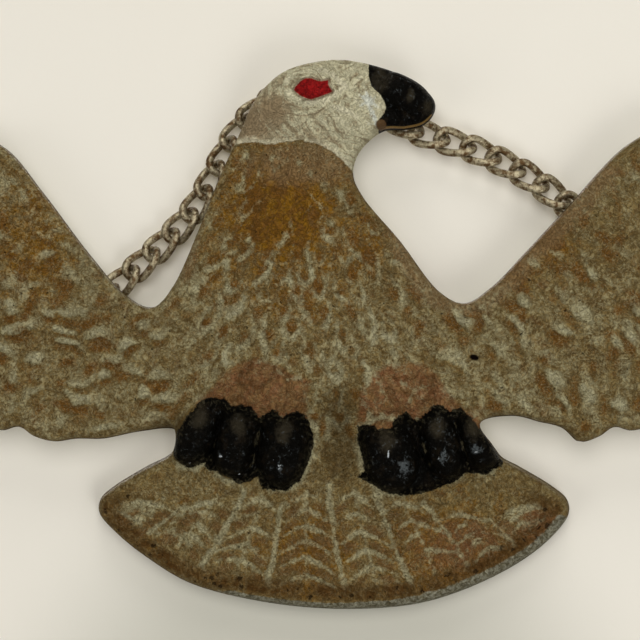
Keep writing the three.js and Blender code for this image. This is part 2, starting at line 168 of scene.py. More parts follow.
bm = bmesh.new()
bmesh.ops.create_grid(bm, x_segments=1, y_segments=1, size=WALL_SIZE / 2,
                      matrix=Matrix.Translation((0, WALL_GAP, 0)) @ Matrix.Rotation(math.pi / 2, 4, "X"))
wall_mesh = bpy.data.meshes.new("wall")
bm.to_mesh(wall_mesh)
bm.free()
wall = in_scene("wall", wall_mesh)
wall.visible_shadow = False
plaster = Recipe("white_plaster")
tooth = plaster.cloud(260, 5, 0.6)
shade = plaster.cover(plaster.cloud(14, 2), PLASTER, PLASTER_PALE)
# Painted shadow: the plaster darkens towards a point low on the wall.
to_painted_shadow = plaster.add("VectorMath", {0: plaster.place, 1: PAINTED_SHADOW_CENTRE}, out="Value", operation="DISTANCE")
shade = plaster.coat(shade, PLASTER_PAINTED_SHADOW, to_painted_shadow, PAINTED_SHADOW_OUTSIDE, PAINTED_SHADOW_INSIDE)
plaster.surface({"Base Color": shade, "Roughness": 0.85, "Specular IOR Level": 0.2,
                 "Normal": plaster.bump(tooth, 0.25, 0.0002)})
clear = plaster.add("BsdfTransparent", {})
behind = plaster.add("NewGeometry", {}, out="Backfacing")
seen = plaster.add("MixShader", {0: behind, 1: plaster.shader.outputs[0], 2: clear})
plaster.tree.links.new(seen, plaster.tree.nodes["Material Output"].inputs["Surface"])
wall_mesh.materials.append(plaster.material)


# Soft daylight from a broad window in front and from above, pale walls at both sides, and a low light from
# the right that glints on the black toes. The rest of the room is dim, so that black paint stays black.
# A lamp behind the wall shows the bird's back.
ROOM_TINT, ROOM_STRENGTH = (1.0, 0.98, 0.94, 1), 0.15


def softbox(name, place, size, watts, tint):
    light = bpy.data.lights.new(name, "AREA")
    light.size, light.energy, light.color = size, watts, tint
    lamp = in_scene(name, light)
    lamp.location = place
    lamp.rotation_euler = (Vector(place) - VIEW_CENTRE).to_track_quat("Z", "Y").to_euler()


softbox("window", (0.00, -1.00, 0.25), 0.80, 5.6, (1.0, 0.975, 0.93))
softbox("skylight", (0.05, -0.55, 1.15), 0.50, 4.8, (1.0, 0.98, 0.94))
softbox("left_wall", (-1.10, -0.90, -0.50), 0.9, 3.4, (1.0, 0.97, 0.92))
softbox("right_wall", (1.20, -0.90, -0.05), 1.1, 2.6, (1.0, 0.97, 0.92))
softbox("low_window", (0.50, -0.80, -0.85), 0.60, 4.4, (1.0, 0.98, 0.95))
softbox("behind_lamp", (-0.2, 1.0, 0.4), 0.8, 22.0, (1.0, 1.0, 1.0))
room = bpy.data.worlds.new("room")
room.use_nodes = True
room.node_tree.nodes["Background"].inputs["Color"].default_value = ROOM_TINT
room.node_tree.nodes["Background"].inputs["Strength"].default_value = ROOM_STRENGTH
bpy.context.scene.world = room


# The bird is one flat-backed casting in soft metal, carved in the pattern and painted cold by hand. Its
# outline, in millimetres from the nail, runs from the crown down the nape and round to the beak.
WING_MIRROR = -4.3
EDGE_FRONT, TAIL_ROOT_FRONT, TAIL_RIM_FRONT = 11.0, 9.2, 6.4
BREAST_RISE, HEAD_RISE, THIGH_RISE, TOE_FRONT = 5.2, 3.2, 3.6, 15.2
BODY_AXIS, TAIL_FOCUS = -6.6, -66
STAND_OFF, EDGE_ROUND, EDGE_DRAFT, EDGE_DROP = 6.8, 2.4, 0.7, 2.2

NAPE = [(4.3, 6.8), (-5.1, 6.1), (-13.5, 3.2), (-20.9, -4.3), (-24.5, -12.0), (-29.4, -22.7)]
LEFT_FLANK = [(-35.2, -37.1), (-42.8, -54.2), (-48.0, -59.4)]
LEFT_WING_TOP = [(-54.5, -56.4), (-64.0, -45.9), (-77.2, -28.6)]
WRIST = [(-87.5, -16.5), (-97.5, -12.4), (-106.5, -18.0)]
WING_SIDE, WING_CORNER = (-110.5, -31.0), (-112.0, -68.0)
WING_LOW, WING_INNER = (-97.5, -89.5), (-70.0, -95.4)
LEFT_WING_FOOT = [(-67.8, -95.6), (-61.0, -95.6), (-51.3, -93.7), (-42.4, -92.9)]
LEFT_TOE = [(-41.9, -96.4), (-43.6, -99.2)]
TAIL_SIDE = [(-50.0, -102.6), (-58.9, -108.0), (-62.6, -111.4), (-63.0, -115.2)]
TAIL_RIM = [(-58.0, -121.0), (-49.5, -127.6), (-38.5, -134.0), (-21.0, -138.6), (0, -140.8)]
TAIL_RIM_RIGHT = [(21.4, -139.6), (35.4, -135.6), (50.0, -128.4), (58.8, -121.6)]
RIGHT_TOE = [(45.6, -99.8), (43.4, -96.4), (40.2, -91.2)]
RIGHT_WING_FOOT = [(48.6, -89.5), (55.0, -91.0), (61.0, -92.6)]
RIGHT_WING_TOP = [(61.8, -34.3), (51.7, -45.1), (42.6, -54.4), (35.6, -58.6)]
RIGHT_FLANK = [(29.4, -55.6), (18.6, -41.6), (8.9, -29.8), (6.6, -24.3), (8.2, -18.7)]
BEAK = [(14.4, -13.3), (20.4, -12.9), (25.3, -11.6), (28.1, -8.6), (28.6, -5.2), (25.8, -1.2), (18.4, 3.2)]


def feather_tips(start, end, count, depth):
    """Round feather tips along one side of a wing, each bulging out between two valleys."""
    start, end = np.array(start), np.array(end)
    along = end - start
    out = np.array((along[1], -along[0])) / np.linalg.norm(along)
    return [tuple(start + along * (i + share) / count + out * depth * bulge)
            for i in range(count) for share, bulge in ((0, 0), (0.3, 0.85), (0.72, 1))]


def mirrored(knots, axis):
    return [(2 * axis - x, z) for x, z in reversed(knots)]


OUTER_WING = (WRIST + feather_tips(WING_SIDE, WING_CORNER, 3, 2.2)
              + feather_tips(WING_CORNER, WING_LOW, 2, 3.0) + feather_tips(WING_LOW, WING_INNER, 2, 1.8))
OUTLINE = (NAPE + LEFT_FLANK + LEFT_WING_TOP + OUTER_WING + LEFT_WING_FOOT + LEFT_TOE + TAIL_SIDE
           + TAIL_RIM + TAIL_RIM_RIGHT + mirrored(TAIL_SIDE, 0.3) + RIGHT_TOE + RIGHT_WING_FOOT
           + mirrored(OUTER_WING, WING_MIRROR) + RIGHT_WING_TOP + RIGHT_FLANK + BEAK)


def smooth_loop(knots, count):
    """A smooth closed line through the knots, with so many points from each knot to the next."""
    b = np.array(knots, float)
    a, c, d = np.roll(b, 1, 0), np.roll(b, -1, 0), np.roll(b, -2, 0)
    ab, bc, cd = (np.linalg.norm(q - p, axis=1)[:, None] ** 0.5 for p, q in ((a, b), (b, c), (c, d)))
    leave = ((b - a) / ab - (c - a) / (ab + bc) + (c - b) / bc) * bc
    reach = ((c - b) / bc - (d - b) / (bc + cd) + (d - c) / cd) * bc
    t = np.linspace(0, 1, count, endpoint=False)[None, :, None]
    b, c, leave, reach = (v[:, None, :] for v in (b, c, leave, reach))
    points = b + leave * t + (3 * (c - b) - 2 * leave - reach) * t**2 + (2 * (b - c) + leave + reach) * t**3
    return points.reshape(-1, 2)


rim = smooth_loop(OUTLINE, 60)
rim_run = np.roll(rim, -1, 0) - np.roll(rim, 1, 0)
rim_out = np.stack((rim_run[:, 1], -rim_run[:, 0]), 1) / np.linalg.norm(rim_run, axis=1)[:, None]
rim_tree = KDTree(len(rim))
for i, (x, z) in enumerate(rim):
    rim_tree.insert((x, z, 0), i)
rim_tree.balance()


def nearest_rim(x, z):
    """For each point, the nearest point of the outline, the way out there, and how far in it lies."""
    hit = np.array([rim_tree.find((a, b, 0))[1] for a, b in zip(x, z)])
    gap = np.stack((x, z), 1) - rim[hit]
    inside = -np.sum(gap * rim_out[hit], 1)
    return rim[hit], rim_out[hit], np.sign(inside) * np.linalg.norm(gap, axis=1)


def smoothstep(value, low, high):
    t = np.clip((value - low) / (high - low), 0, 1)
    return t * t * (3 - 2 * t)


def dome(x, z, centre_x, centre_z, radius_x, radius_z):
    r = np.minimum(1, np.hypot((x - centre_x) / radius_x, (z - centre_z) / radius_z))
    return np.cos(r * np.pi / 2) ** 1.5


def thigh_mounds(x, z):
    return dome(x, z, -19, -84.5, 17, 13) + dome(x, z, 26, -84.5, 17, 13)


def plain_front(x, z):
    """How far the front stands out from the wall before toes and carving."""
    tail_share = np.where(z < -98, 1, smoothstep(-z, 86, 97) * (1 - smoothstep(np.abs(x), 44, 52)))
    reach = np.hypot(x, z - TAIL_FOCUS)
    tail = TAIL_ROOT_FRONT + (TAIL_RIM_FRONT - TAIL_ROOT_FRONT) * smoothstep(reach, 30, 75)
    half_width = 18 + 26 * smoothstep(-z, 12, 62)
    across = np.minimum(1, np.abs(x - BODY_AXIS - 0.06 * np.minimum(0, z + 50)) / half_width)
    along = smoothstep(-z, 8, 46) * (1 - smoothstep(-z, 78, 102))
    breast = BREAST_RISE * along * np.cos(across * np.pi / 2) ** 2
    head = HEAD_RISE * dome(x, z, -3, -5, 25, 17)
    body = EDGE_FRONT + breast + head
    return body + (tail - body) * tail_share + THIGH_RISE * thigh_mounds(x, z)


def stand_off(x, z):
    """Room behind the outer wings and the head, where the chain passes."""
    wing = np.clip((np.abs(x - BODY_AXIS) - 34) / 10, 0, 1) * smoothstep(z, -99, -97)
    head = np.clip((z + 46) / 9, 0, 1)
    return STAND_OFF * np.maximum(wing, head)


# Knuckle, claw and half width of each toe, three on each foot, and of the beak's ridge.
TOES = [((-33.0, -87.0), (-38.2, -99.0), 5.9), ((-23.4, -87.4), (-26.4, -102.6), 5.8),
        ((-11.8, -89.4), (-13.2, -104.2), 7.0), ((14.6, -92.4), (17.2, -105.2), 7.4),
        ((27.4, -88.2), (31.0, -102.6), 5.8), ((36.6, -89.2), (41.0, -100.0), 5.4)]
BEAK_RIDGE = ((15.5, -1.0), (23.5, -5.4), 5.2)
TOE_DEPTH, RIDGE_FRONT, RIDGE_DEPTH, BLEND = 7.0, 13.8, 3.4, 0.5


def swelling(x, z, ridge, front, depth):
    """The front of a rounded form that lies in the face, such as a toe, and far below it elsewhere."""
    (x0, z0), (x1, z1), half_width = ridge
    run = math.hypot(x1 - x0, z1 - z0)
    ux, uz = (x1 - x0) / run, (z1 - z0) / run
    px, pz = x - (x0 + x1) / 2, z - (z0 + z1) / 2
    along = np.abs(px * ux + pz * uz) / (run / 2 + 0.55 * half_width)
    across = (px * uz - pz * ux) / half_width
    room = 1 - along**2.6 - across**2
    return front - depth + depth * np.maximum(room, 0) ** 0.42 + np.minimum(room, 0) * depth


def blend_over(a, b, soft):
    return (a + b + np.sqrt((a - b) ** 2 + soft**2)) / 2


def modelled_front(x, z):
    front = plain_front(x, z)
    for toe in TOES:
        front = blend_over(front, swelling(x, z, toe, TOE_FRONT - 0.4, TOE_DEPTH), BLEND)
    return blend_over(front, swelling(x, z, BEAK_RIDGE, RIDGE_FRONT, RIDGE_DEPTH), BLEND)


# The face is a fine lattice cut to the outline, with coarser columns in the outer wings. Its edge
# rolls over, drops to the back with a little draft, and the back is closed by a wider lattice.
X_LINES, X_PLACES, COLUMNS = (-1, -0.775, 0.775, 1), (-113.0, -71.5, 66.5, 105.5), 408
Z_LOW, Z_HIGH, ROWS = -141.5, 7.5, 342
BACK_CELL = 3.5
EDGE_TURNS = np.radians((65, 42, 20, 0))
BACK_STEPS = [(0.30, 0, 1.6), (0, 0, 0.7), (0.12, 0, 0.2), (0.6, 0, 0)]

bm = bmesh.new()
bmesh.ops.create_grid(bm, x_segments=COLUMNS, y_segments=ROWS, size=1)
flat = np.array([v.co for v in bm.verts])
x = np.interp(flat[:, 0], X_LINES, X_PLACES)
z = Z_LOW + (flat[:, 1] + 1) / 2 * (Z_HIGH - Z_LOW)
inside = nearest_rim(x, z)[2]
for v, a, b in zip(bm.verts, x, z):
    v.co = (a, 0, b)
bm.verts.ensure_lookup_table()
bmesh.ops.delete(bm, geom=[v for v, d in zip(bm.verts, inside) if d < EDGE_ROUND], context="VERTS")
while True:
    stray = [v for v in bm.verts if not v.link_faces or sum(e.is_boundary for e in v.link_edges) > 2]
    if not stray:
        break
    bmesh.ops.delete(bm, geom=stray, context="VERTS")


def to_inset(verts, inset):
    """Moves points of the lattice's edge so that each lies just so far inside the outline."""
    x, z = (np.array([v.co[k] for v in verts]) for k in (0, 2))
    near, out, depth = nearest_rim(x, z)
    gap = near - np.stack((x, z), 1)
    length = np.linalg.norm(gap, axis=1)[:, None]
    way = np.where(length > 0.05, gap / np.maximum(length, 1e-9), out)
    way = np.where((depth < 0)[:, None], out, way)
    inset = np.broadcast_to(inset, len(verts))[:, None]
    for v, (a, b) in zip(verts, near - way * inset):
        v.co = (a, 0, b)


edge = [v for v in bm.verts if v.is_boundary]
for _ in range(8):
    middles = [sum((e.other_vert(v).co for e in v.link_edges if e.is_boundary), Vector()) / 2 for v in edge]
    for v, middle in zip(edge, middles):
        v.co = v.co.lerp(middle, 0.5)
    to_inset(edge, EDGE_ROUND)
near_edge = set(edge)
for _ in range(3):
    near_edge |= {e.other_vert(v) for v in near_edge for e in v.link_edges}
near_edge = [v for v in bm.verts if v in near_edge and not v.is_boundary]
for _ in range(6):
    bmesh.ops.smooth_vert(bm, verts=near_edge, factor=0.5, use_axis_x=True, use_axis_z=True)

drop_layer = bm.verts.layers.float.new("drop")
back_layer = bm.verts.layers.float.new("back")
for v in bm.verts:
    v[back_layer] = -1
edge_steps = [(EDGE_DRAFT + (EDGE_ROUND - EDGE_DRAFT) * (1 - math.cos(t)), EDGE_DROP * (1 - math.sin(t)), -1)
              for t in EDGE_TURNS]
loop = [e for e in bm.edges if e.is_boundary]
for inset, drop, back in edge_steps + BACK_STEPS:
    grown = bmesh.ops.extrude_edge_only(bm, edges=loop)["geom"]
    verts = [g for g in grown if isinstance(g, bmesh.types.BMVert)]
    loop = [g for g in grown if isinstance(g, bmesh.types.BMEdge) and g.is_boundary]
    if back >= 0:
        place = np.array([v.co for v in verts])
        inset = inset + 0.07 * stand_off(place[:, 0], place[:, 2])
    to_inset(verts, inset)
    for v in verts:
        v[drop_layer], v[back_layer] = drop, back


def once(items):
    """A list without doubles, in an order that is the same each time."""
    return list(dict.fromkeys(items))


cap = bmesh.ops.edgeloop_fill(bm, edges=loop)["faces"]
cut_geometry = cap + once(v for f in cap for v in f.verts) + once(e for f in cap for e in f.edges)
for normal, low, high in (((1, 0, 0), -112, 105), ((0, 0, 1), -139, 6)):
    for place in np.arange(low, high, BACK_CELL):
        cut_geometry = bmesh.ops.bisect_plane(bm, geom=cut_geometry, plane_co=Vector(normal) * place,
                                              plane_no=normal, dist=0.001)["geom"]
bmesh.ops.recalc_face_normals(bm, faces=bm.faces)

eagle_mesh = bpy.data.meshes.new("eagle_casting")
bm.to_mesh(eagle_mesh)
bm.free()

count = len(eagle_mesh.vertices)
place = np.empty(count * 3)
eagle_mesh.vertices.foreach_get("co", place)
x, z = place[0::3].copy(), place[2::3].copy()
drop, back = np.empty(count), np.empty(count)
eagle_mesh.attributes["drop"].data.foreach_get("value", drop)
eagle_mesh.attributes["back"].data.foreach_get("value", back)
on_face, on_back = back < 0, (back >= 0) & (back < 0.1)
edge_out, edge_gap = nearest_rim(x, z)[1:]


def carve(x, z, strokes):
    """Depth of rounded gouges, each from one point to another, as (start, end, width, depth, taper)."""
    depth = np.zeros(len(x))
    for (x0, z0), (x1, z1), width, deep, taper in strokes:
        reach = 1.4 * width
        near = np.flatnonzero((x > min(x0, x1) - reach) & (x < max(x0, x1) + reach)
                              & (z > min(z0, z1) - reach) & (z < max(z0, z1) + reach))
        px, pz, dx, dz = x[near] - x0, z[near] - z0, x1 - x0, z1 - z0
        along = np.clip((px * dx + pz * dz) / (dx * dx + dz * dz), 0, 1)
        gap = np.hypot(px - along * dx, pz - along * dz)
        cut = deep * (1 - taper * np.abs(2 * along - 1) ** 2) * np.exp(-((2 * gap / width) ** 2))
        depth[near] = np.maximum(depth[near], cut)
    return depth


def path(points, width, deep):
    return [(a, b, width, deep, 0.0) for a, b in zip(points, points[1:])]


# Paired gouges cover the breast like overlapping feather ends: each pair runs down to a point round a
# raised brown vane. They fan out towards the wings, where they grow broad, shallow and lost in dents.
ROWS_TOP, ROWS_END, ROW_STEP, COLUMN_STEP, COLUMNS_ASIDE = -20.0, -95.0, -5.2, 6.4, 18
FEATHER_LENGTH, FEATHER_SPREAD, GOUGE_WIDTH, GOUGE_DEPTH, VANE_WIDTH = 8.4, 4.6, 2.1, 0.46, 2.8
SPARSE_HALF, SPARSE_END, PLUMAGE_HALF = 12, -38, 104

draw = np.random.default_rng(11)
feather_strokes, vanes = [], []
for row, level in enumerate(np.arange(ROWS_TOP, ROWS_END, ROW_STEP)):
    for column in range(-COLUMNS_ASIDE, COLUMNS_ASIDE + 1):
        cx = BODY_AXIS + (column + 0.5 * (row % 2)) * COLUMN_STEP + draw.normal(0, 1.0)
        cz = level + draw.normal(0, 1.2) - 0.05 * abs(cx - BODY_AXIS)
        off = cx - BODY_AXIS
        keep = 0.3 if abs(off) < SPARSE_HALF and cz > SPARSE_END else 0.92
        if draw.random() > keep or abs(off) > PLUMAGE_HALF:
            continue
        wing = min(1.0, max(0.0, (abs(off) - 26) / 20))
        lean = math.radians(np.clip(1.6 * off, -48, 48) + draw.normal(0, 8 + 10 * wing))
        down, side = np.array((math.sin(lean), -math.cos(lean))), np.array((math.cos(lean), math.sin(lean)))
        middle = np.array((cx, cz))
        length = FEATHER_LENGTH * draw.uniform(0.6, 1.15)
        spread = (FEATHER_SPREAD + wing) * draw.uniform(0.6, 1.15)
        tip = middle + down * length / 2
        for hand in (-1, 1):
            if draw.random() < 0.2:
                continue
            top = middle - down * length / 2 + side * hand * spread * draw.uniform(0.15, 0.5)
            knee = middle + side * hand * spread * draw.uniform(0.34, 0.5)
            width = (GOUGE_WIDTH + 0.8 * wing) * draw.uniform(0.65, 1.3)
            deep = GOUGE_DEPTH * draw.uniform(0.3, 1.15)
            deep *= 0.7 + 0.3 * min(1.0, max(0.0, (-cz - 24) / 14))
            feather_strokes.append((top, knee, width * 0.8, deep * 0.7, 0.5))
            feather_strokes.append((knee, tip, width, deep, 0.35))
        if draw.random() < 0.85 - 0.35 * wing:
            root, end = middle - down * length * draw.uniform(0.15, 0.4), middle + down * length * 0.25
            vanes.append((root, end, VANE_WIDTH, draw.uniform(0.6, 1.3), 0.6))

# The tail's long feathers: a groove between each two, and slanting barbs on both sides of each shaft.
TAIL_GROOVES = [
    [(-57.0, -112.0), (-60.0, -114.5)], [(-39.2, -113.4), (-49.0, -120.5)],
    [(-22.5, -109.2), (-30.0, -122.3), (-34.3, -128.5)], [(-13.0, -112.1), (-14.6, -121.2), (-16.7, -135.0)],
    [(-0.5, -107.2), (0.7, -117.2), (1.9, -126.6), (3.8, -135.8)],
    [(12.4, -110.4), (15.0, -118.8), (18.6, -127.2), (21.2, -133.9)],
    [(24.8, -112.6), (31.1, -120.2), (33.8, -124.2), (37.5, -131.0)], [(41.9, -116.1), (50.1, -124.3)],
    [(55.0, -111.5), (60.5, -115.0)]]
BARB_DEPTH, BARB_VANE_WIDTH, BARB_VANE_BELOW = 0.5, 2.2, -1.9
tail_grooves, barbs, tail_vanes = [], [], []
for line in TAIL_GROOVES[1:-1]:
    steps = np.linspace(0, len(line) - 1, 4 * len(line) - 3)
    knots = np.stack([np.interp(steps, range(len(line)), k) for k in zip(*line)], 1)
    knots += draw.normal(0, 0.2, (len(steps), 2))
    tail_grooves += [(a, c, draw.uniform(1.2, 2.1), draw.uniform(0.25, 0.6), 0.0)
                     for a, c in zip(knots, knots[1:])]


def along_line(line, share):
    at = np.clip(share, 0, 1) * (len(line) - 1)
    i = min(int(at), len(line) - 2)
    return np.array(line[i]) + (np.array(line[i + 1]) - np.array(line[i])) * (at - i)


for left, right in zip(TAIL_GROOVES, TAIL_GROOVES[1:]):
    share = draw.uniform(0.0, 0.08)
    while share < 0.92:
        shaft = (along_line(left, share) + along_line(right, share)) / 2 + draw.normal(0, 0.15, 2)
        for line in (left, right):
            if draw.random() < 0.08:
                continue
            rise = share + draw.uniform(0.14, 0.2)
            end = shaft + (along_line(line, rise) - shaft) * draw.uniform(0.7, 0.95)
            knee = (shaft + end) / 2 + draw.normal(0, 0.15, 2) + (0, 0.3)
            deep = BARB_DEPTH * draw.uniform(0.5, 1.0)
            width = draw.uniform(1.3, 2.0)
            barbs.append((shaft, knee, width, deep, 0.1))
            barbs.append((knee, end, width * 0.7, deep * 0.7, 0.5))
            low, high = ((1 - s) * shaft + s * end + (0, BARB_VANE_BELOW) for s in (0.3, 0.9))
            tail_vanes.append((low, high, BARB_VANE_WIDTH, draw.uniform(0.7, 1.4), 0.6))
        share += draw.uniform(0.15, 0.21)
    shaft_line = [(along_line(left, s) + along_line(right, s)) / 2 + draw.normal(0, 0.25, 2)
                  for s in (0.0, 0.3, 0.6, 0.9)]
    barbs += path(shaft_line, 1.4, 0.22)

# Lines between the flight feathers of the outer wings, from the notches of the edge to the arm.
LEFT_ARM, WING_LINE_DEPTH = (-80.0, -42.0), 0.8
notches = OUTER_WING[len(WRIST)::3]
wing_lines = []
for notch in notches + mirrored(notches, WING_MIRROR):
    arm = LEFT_ARM if notch[0] < 0 else mirrored([LEFT_ARM], WING_MIRROR)[0]
    low, high = (np.array(notch) + share * (np.array(arm) - notch) for share in (0.05, 0.62))
    wing_lines.append((low, high, 2.0, WING_LINE_DEPTH, 0.2))

# Folds between the toes, the valley under the beak's ridge, a star of cuts on the right thigh, and the
# lids and cheek lines round the eye.
FOLD_WIDTH, FOLD_DEPTH = 1.7, 1.2
TOE_FOLDS = [[(-28.6, -87.5), (-32.4, -102.9)], [(-18.1, -90.2), (-21.3, -103.4)],
             [(23.0, -90.2), (26.5, -103.0)], [(32.9, -91.0), (36.9, -103.1)]]
toe_folds = [stroke for fold in TOE_FOLDS for stroke in path(fold, FOLD_WIDTH, FOLD_DEPTH)]
beak_lines = path([(11.4, 1.6), (15.0, 1.4), (18.4, 0.2), (21.6, -3.0), (23.2, -7.0)], 1.9, 0.55)
STAR_CENTRE, STAR_ENDS = (22.1, -82.3), [(18.2, -79.6), (26.2, -80.6), (20.2, -86.8), (25.6, -86.2)]
thigh_star = [(STAR_CENTRE, end, 1.3, 0.35, 0.4) for end in STAR_ENDS]
thigh_star += path([(-13.5, -77.0), (-11.0, -79.6), (-7.4, -79.0)], 1.2, 0.3)
UPPER_LID = [(-13.0, -2.0), (-10.4, 1.2), (-6.2, 3.2), (-1.6, 2.9), (1.8, 0.9), (4.2, -1.6)]
LOWER_LID = [(-13.0, -2.0), (-9.0, -5.0), (-4.6, -6.2), (0.2, -5.0), (4.2, -1.6)]
CHEEK_FOLD = [(0.6, -7.2), (4.0, -7.9), (7.4, -9.8)]
lid_lines = path(UPPER_LID, 1.5, 0.3) + path(LOWER_LID, 1.5, 0.3) + path(CHEEK_FOLD, 1.5, 0.25)

soft = smoothstep(edge_gap, 0.6, 4.0) * on_face
toe_front = np.max([swelling(x, z, toe, TOE_FRONT, 7.2) for toe in TOES], axis=0)
off_toes = 1 - smoothstep(toe_front - plain_front(x, z), -1.2, 0.2)
on_thighs = np.minimum(1, 3 * thigh_mounds(x, z))
wing_share = smoothstep(np.abs(x - BODY_AXIS), 20, 42) * smoothstep(-z, 20, 50) * (1 - smoothstep(-z, 92, 98))
plumage = soft * off_toes * smoothstep(-z, 17, 21) * (1 - smoothstep(-z, 92, 97)) * (1 - 0.75 * on_thighs)
feathers = carve(x, z, feather_strokes) * plumage
brown_vanes = carve(x, z, vanes) * plumage + carve(x, z, tail_vanes) * soft * off_toes * (z < -104)


# The wings' small feathers are worn down to soft swellings, each with a hollow below it. They lie level
# on the left wing and slant down to the right on the right one.
SWELLING_ROWS, SWELLING_COLUMNS = np.arange(-22.0, -96.0, -6.2), np.arange(-112.0, 106.0, 8.6)
DENT_PITCH, DENT_SEED, EYE_MIDDLE = 5.4, 3, (-4.7, -2.2)
swellings = []
for level in SWELLING_ROWS:
    for column in SWELLING_COLUMNS:
        cx, cz = column + draw.uniform(-3.2, 3.2), level + draw.uniform(-2.2, 2.2)
        slant = math.radians((-48 if cx > 0 else -8) + draw.normal(0, 16))
        long, wide, high = draw.uniform(2.8, 5.4), draw.uniform(1.7, 2.7), draw.uniform(0.25, 1.1)
        swellings.append((cx, cz, slant, long, wide, high))


def heap(x, z, forms, sunk):
    """Height of soft long swellings, or of the hollows that lie so far below each."""
    height = np.zeros(len(x))
    for cx, cz, slant, long, wide, high in forms:
        cx, cz = cx + sunk * wide * math.sin(slant), cz - sunk * wide * math.cos(slant)
        near = np.flatnonzero((np.abs(x - cx) < long) & (np.abs(z - cz) < long))
        px, pz = x[near] - cx, z[near] - cz
        along = (px * math.cos(slant) + pz * math.sin(slant)) / long
        across = (pz * math.cos(slant) - px * math.sin(slant)) / wide
        height[near] = np.maximum(height[near], high * np.clip(1 - along**2 - across**2, 0, 1) ** 1.3)
    return height


def scallops(a, b, pitch):
    """How near a point of the wing is to the line between two of its irregular dents."""
    turn = noise.noise_vector((a * 0.09, 3.0, b * 0.09)) * 2.6
    near = noise.voronoi(((a + turn.x) / pitch, 0.0, (b + turn.z) / (0.8 * pitch)))[0]
    return near[1] - near[0]


def ripples(scale, layer):
    return np.array([noise.noise((a * scale, layer, b * scale)) for a, b in zip(x, z)])


noise.seed_set(DENT_SEED)
dent_lines = np.array([scallops(a, b, DENT_PITCH) if share > 0 else 1.0
                       for a, b, share in zip(x, z, wing_share)])
bend_x, bend_z = 2.4 * ripples(0.16, 20.0), 2.4 * ripples(0.16, 40.0)
wing_room = wing_share * plumage
crests = heap(x + bend_x, z + bend_z, swellings, 0.0) * wing_room
troughs = heap(x + bend_x, z + bend_z, swellings, 1.25) * wing_room * (1 - np.clip(crests * 1.5, 0, 1))
dents = (1 - smoothstep(dent_lines, 0.0, 0.6)) * wing_share * smoothstep(ripples(0.3, 9.0), -0.25, 0.35)
feathers = np.maximum(feathers * (1 - 0.5 * wing_share), 0.2 * dents * plumage)
tail_room = soft * off_toes * smoothstep(edge_gap, 3.0, 6.5)
tail_cuts = np.maximum(carve(x, z, tail_grooves), carve(x, z, barbs)) * tail_room
wing_cuts = carve(x, z, wing_lines) * on_face
cuts = np.max([feathers, tail_cuts, wing_cuts, carve(x, z, thigh_star) * soft * off_toes], axis=0)
pit = 0.9 * np.exp(-(((x - 38.1 + 0.5 * (z + 73.6)) / 1.15) ** 2 + ((z + 73.6) / 0.75) ** 2) ** 1.5)
lumps = np.array([noise.fractal((a * 0.13 - b * 0.05, 2.0, b * 0.17), 1.1, 2.1, 4) for a, b in zip(x, z)])
grain = np.array([noise.fractal((a * 0.7, 5.0, b * 0.7), 0.8, 2.0, 2) for a, b in zip(x, z)])
rough = lumps * (0.24 + 0.2 * wing_share) + grain * (0.2 + 0.06 * wing_share)
rough *= np.where(on_face, 1, 0) * (0.35 + 0.65 * off_toes) * (1 - 0.6 * smoothstep(z, -18, -14))

front = modelled_front(x, z) - drop
front += 0.35 * dome(x, z, -4.7, -1.8, 7, 4.5) + 1.1 * dome(x, z, 13.5, -11.6, 2.2, 2.0) * on_face
front -= cuts + pit + (carve(x, z, toe_folds) + carve(x, z, beak_lines)) * on_face
eye_socket = 0.5 * dome(x, z, *EYE_MIDDLE, 8.5, 5.8) ** 0.3 * (1 - dome(x, z, *EYE_MIDDLE, 6.4, 4.2) ** 0.4)
front += (carve(x, z, lid_lines) - eye_socket) * soft
front += rough + 0.16 * brown_vanes + 0.75 * crests - 0.5 * troughs
y = np.where(on_face, -front, -stand_off(x, z) - np.maximum(back, 0))
coordinates = np.stack((x, y, z), 1) * MM
eagle_mesh.vertices.foreach_set("co", coordinates.ravel())
eagle_mesh.polygons.foreach_set("use_smooth", np.ones(len(eagle_mesh.polygons), bool))

# Hollows that hold the pale wash and crests where it is rubbed off are told by the height of the face
# against its surroundings.
ends = np.empty(2 * len(eagle_mesh.edges), int)
eagle_mesh.edges.foreach_get("vertices", ends)
e0, e1 = ends[0::2], ends[1::2]
links = np.bincount(e0, minlength=count) + np.bincount(e1, minlength=count)


def smeared(values, times):
    """Values averaged so many times with those of the neighbouring points."""
    for _ in range(times):
        values = (np.bincount(e0, values[e1], count) + np.bincount(e1, values[e0], count)) / links
    return values


hollow = (smeared(-y, 16) + y) * np.where(edge_gap > 2.6, 1, 0) * on_face
soaked = smeared(cuts, 5)
scratch = carve(x, z, path([(-5.6, -30.2), (-3.8, -32.2), (-2.2, -34.6)], 0.7, 0.5))
# Flecks of pale wash on the breast that stand just where the photograph has them.
FLECKS = [((-22.9, -19.4), (-21.8, -20.2)), ((-14.0, -18.8), (-13.4, -20.8)),
          ((-8.6, -21.2), (-8.0, -22.4)), ((-5.6, -24.0), (-4.6, -25.4)), ((-1.8, -27.2), (-0.8, -29.0)),
          ((2.0, -29.4), (3.4, -31.4)), ((-24.6, -27.4), (-24.0, -29.2)), ((-0.2, -37.4), (0.4, -39.2)),
          ((-27.4, -47.6), (-27.0, -51.0)), ((-27.6, -52.4), (-26.2, -56.6)),
          ((-17.8, -46.4), (-13.8, -46.2)), ((-16.2, -46.6), (-16.4, -53.4)),
          ((-6.0, -45.4), (-4.8, -49.6)), ((-4.8, -50.0), (-3.8, -53.6)),
          ((-10.6, -52.2), (-8.6, -56.2)), ((-21.8, -42.2), (-21.2, -44.0))]
flecks = carve(x, z, [(a, b, 1.9, 0.9, 0.5) for a, b in FLECKS])


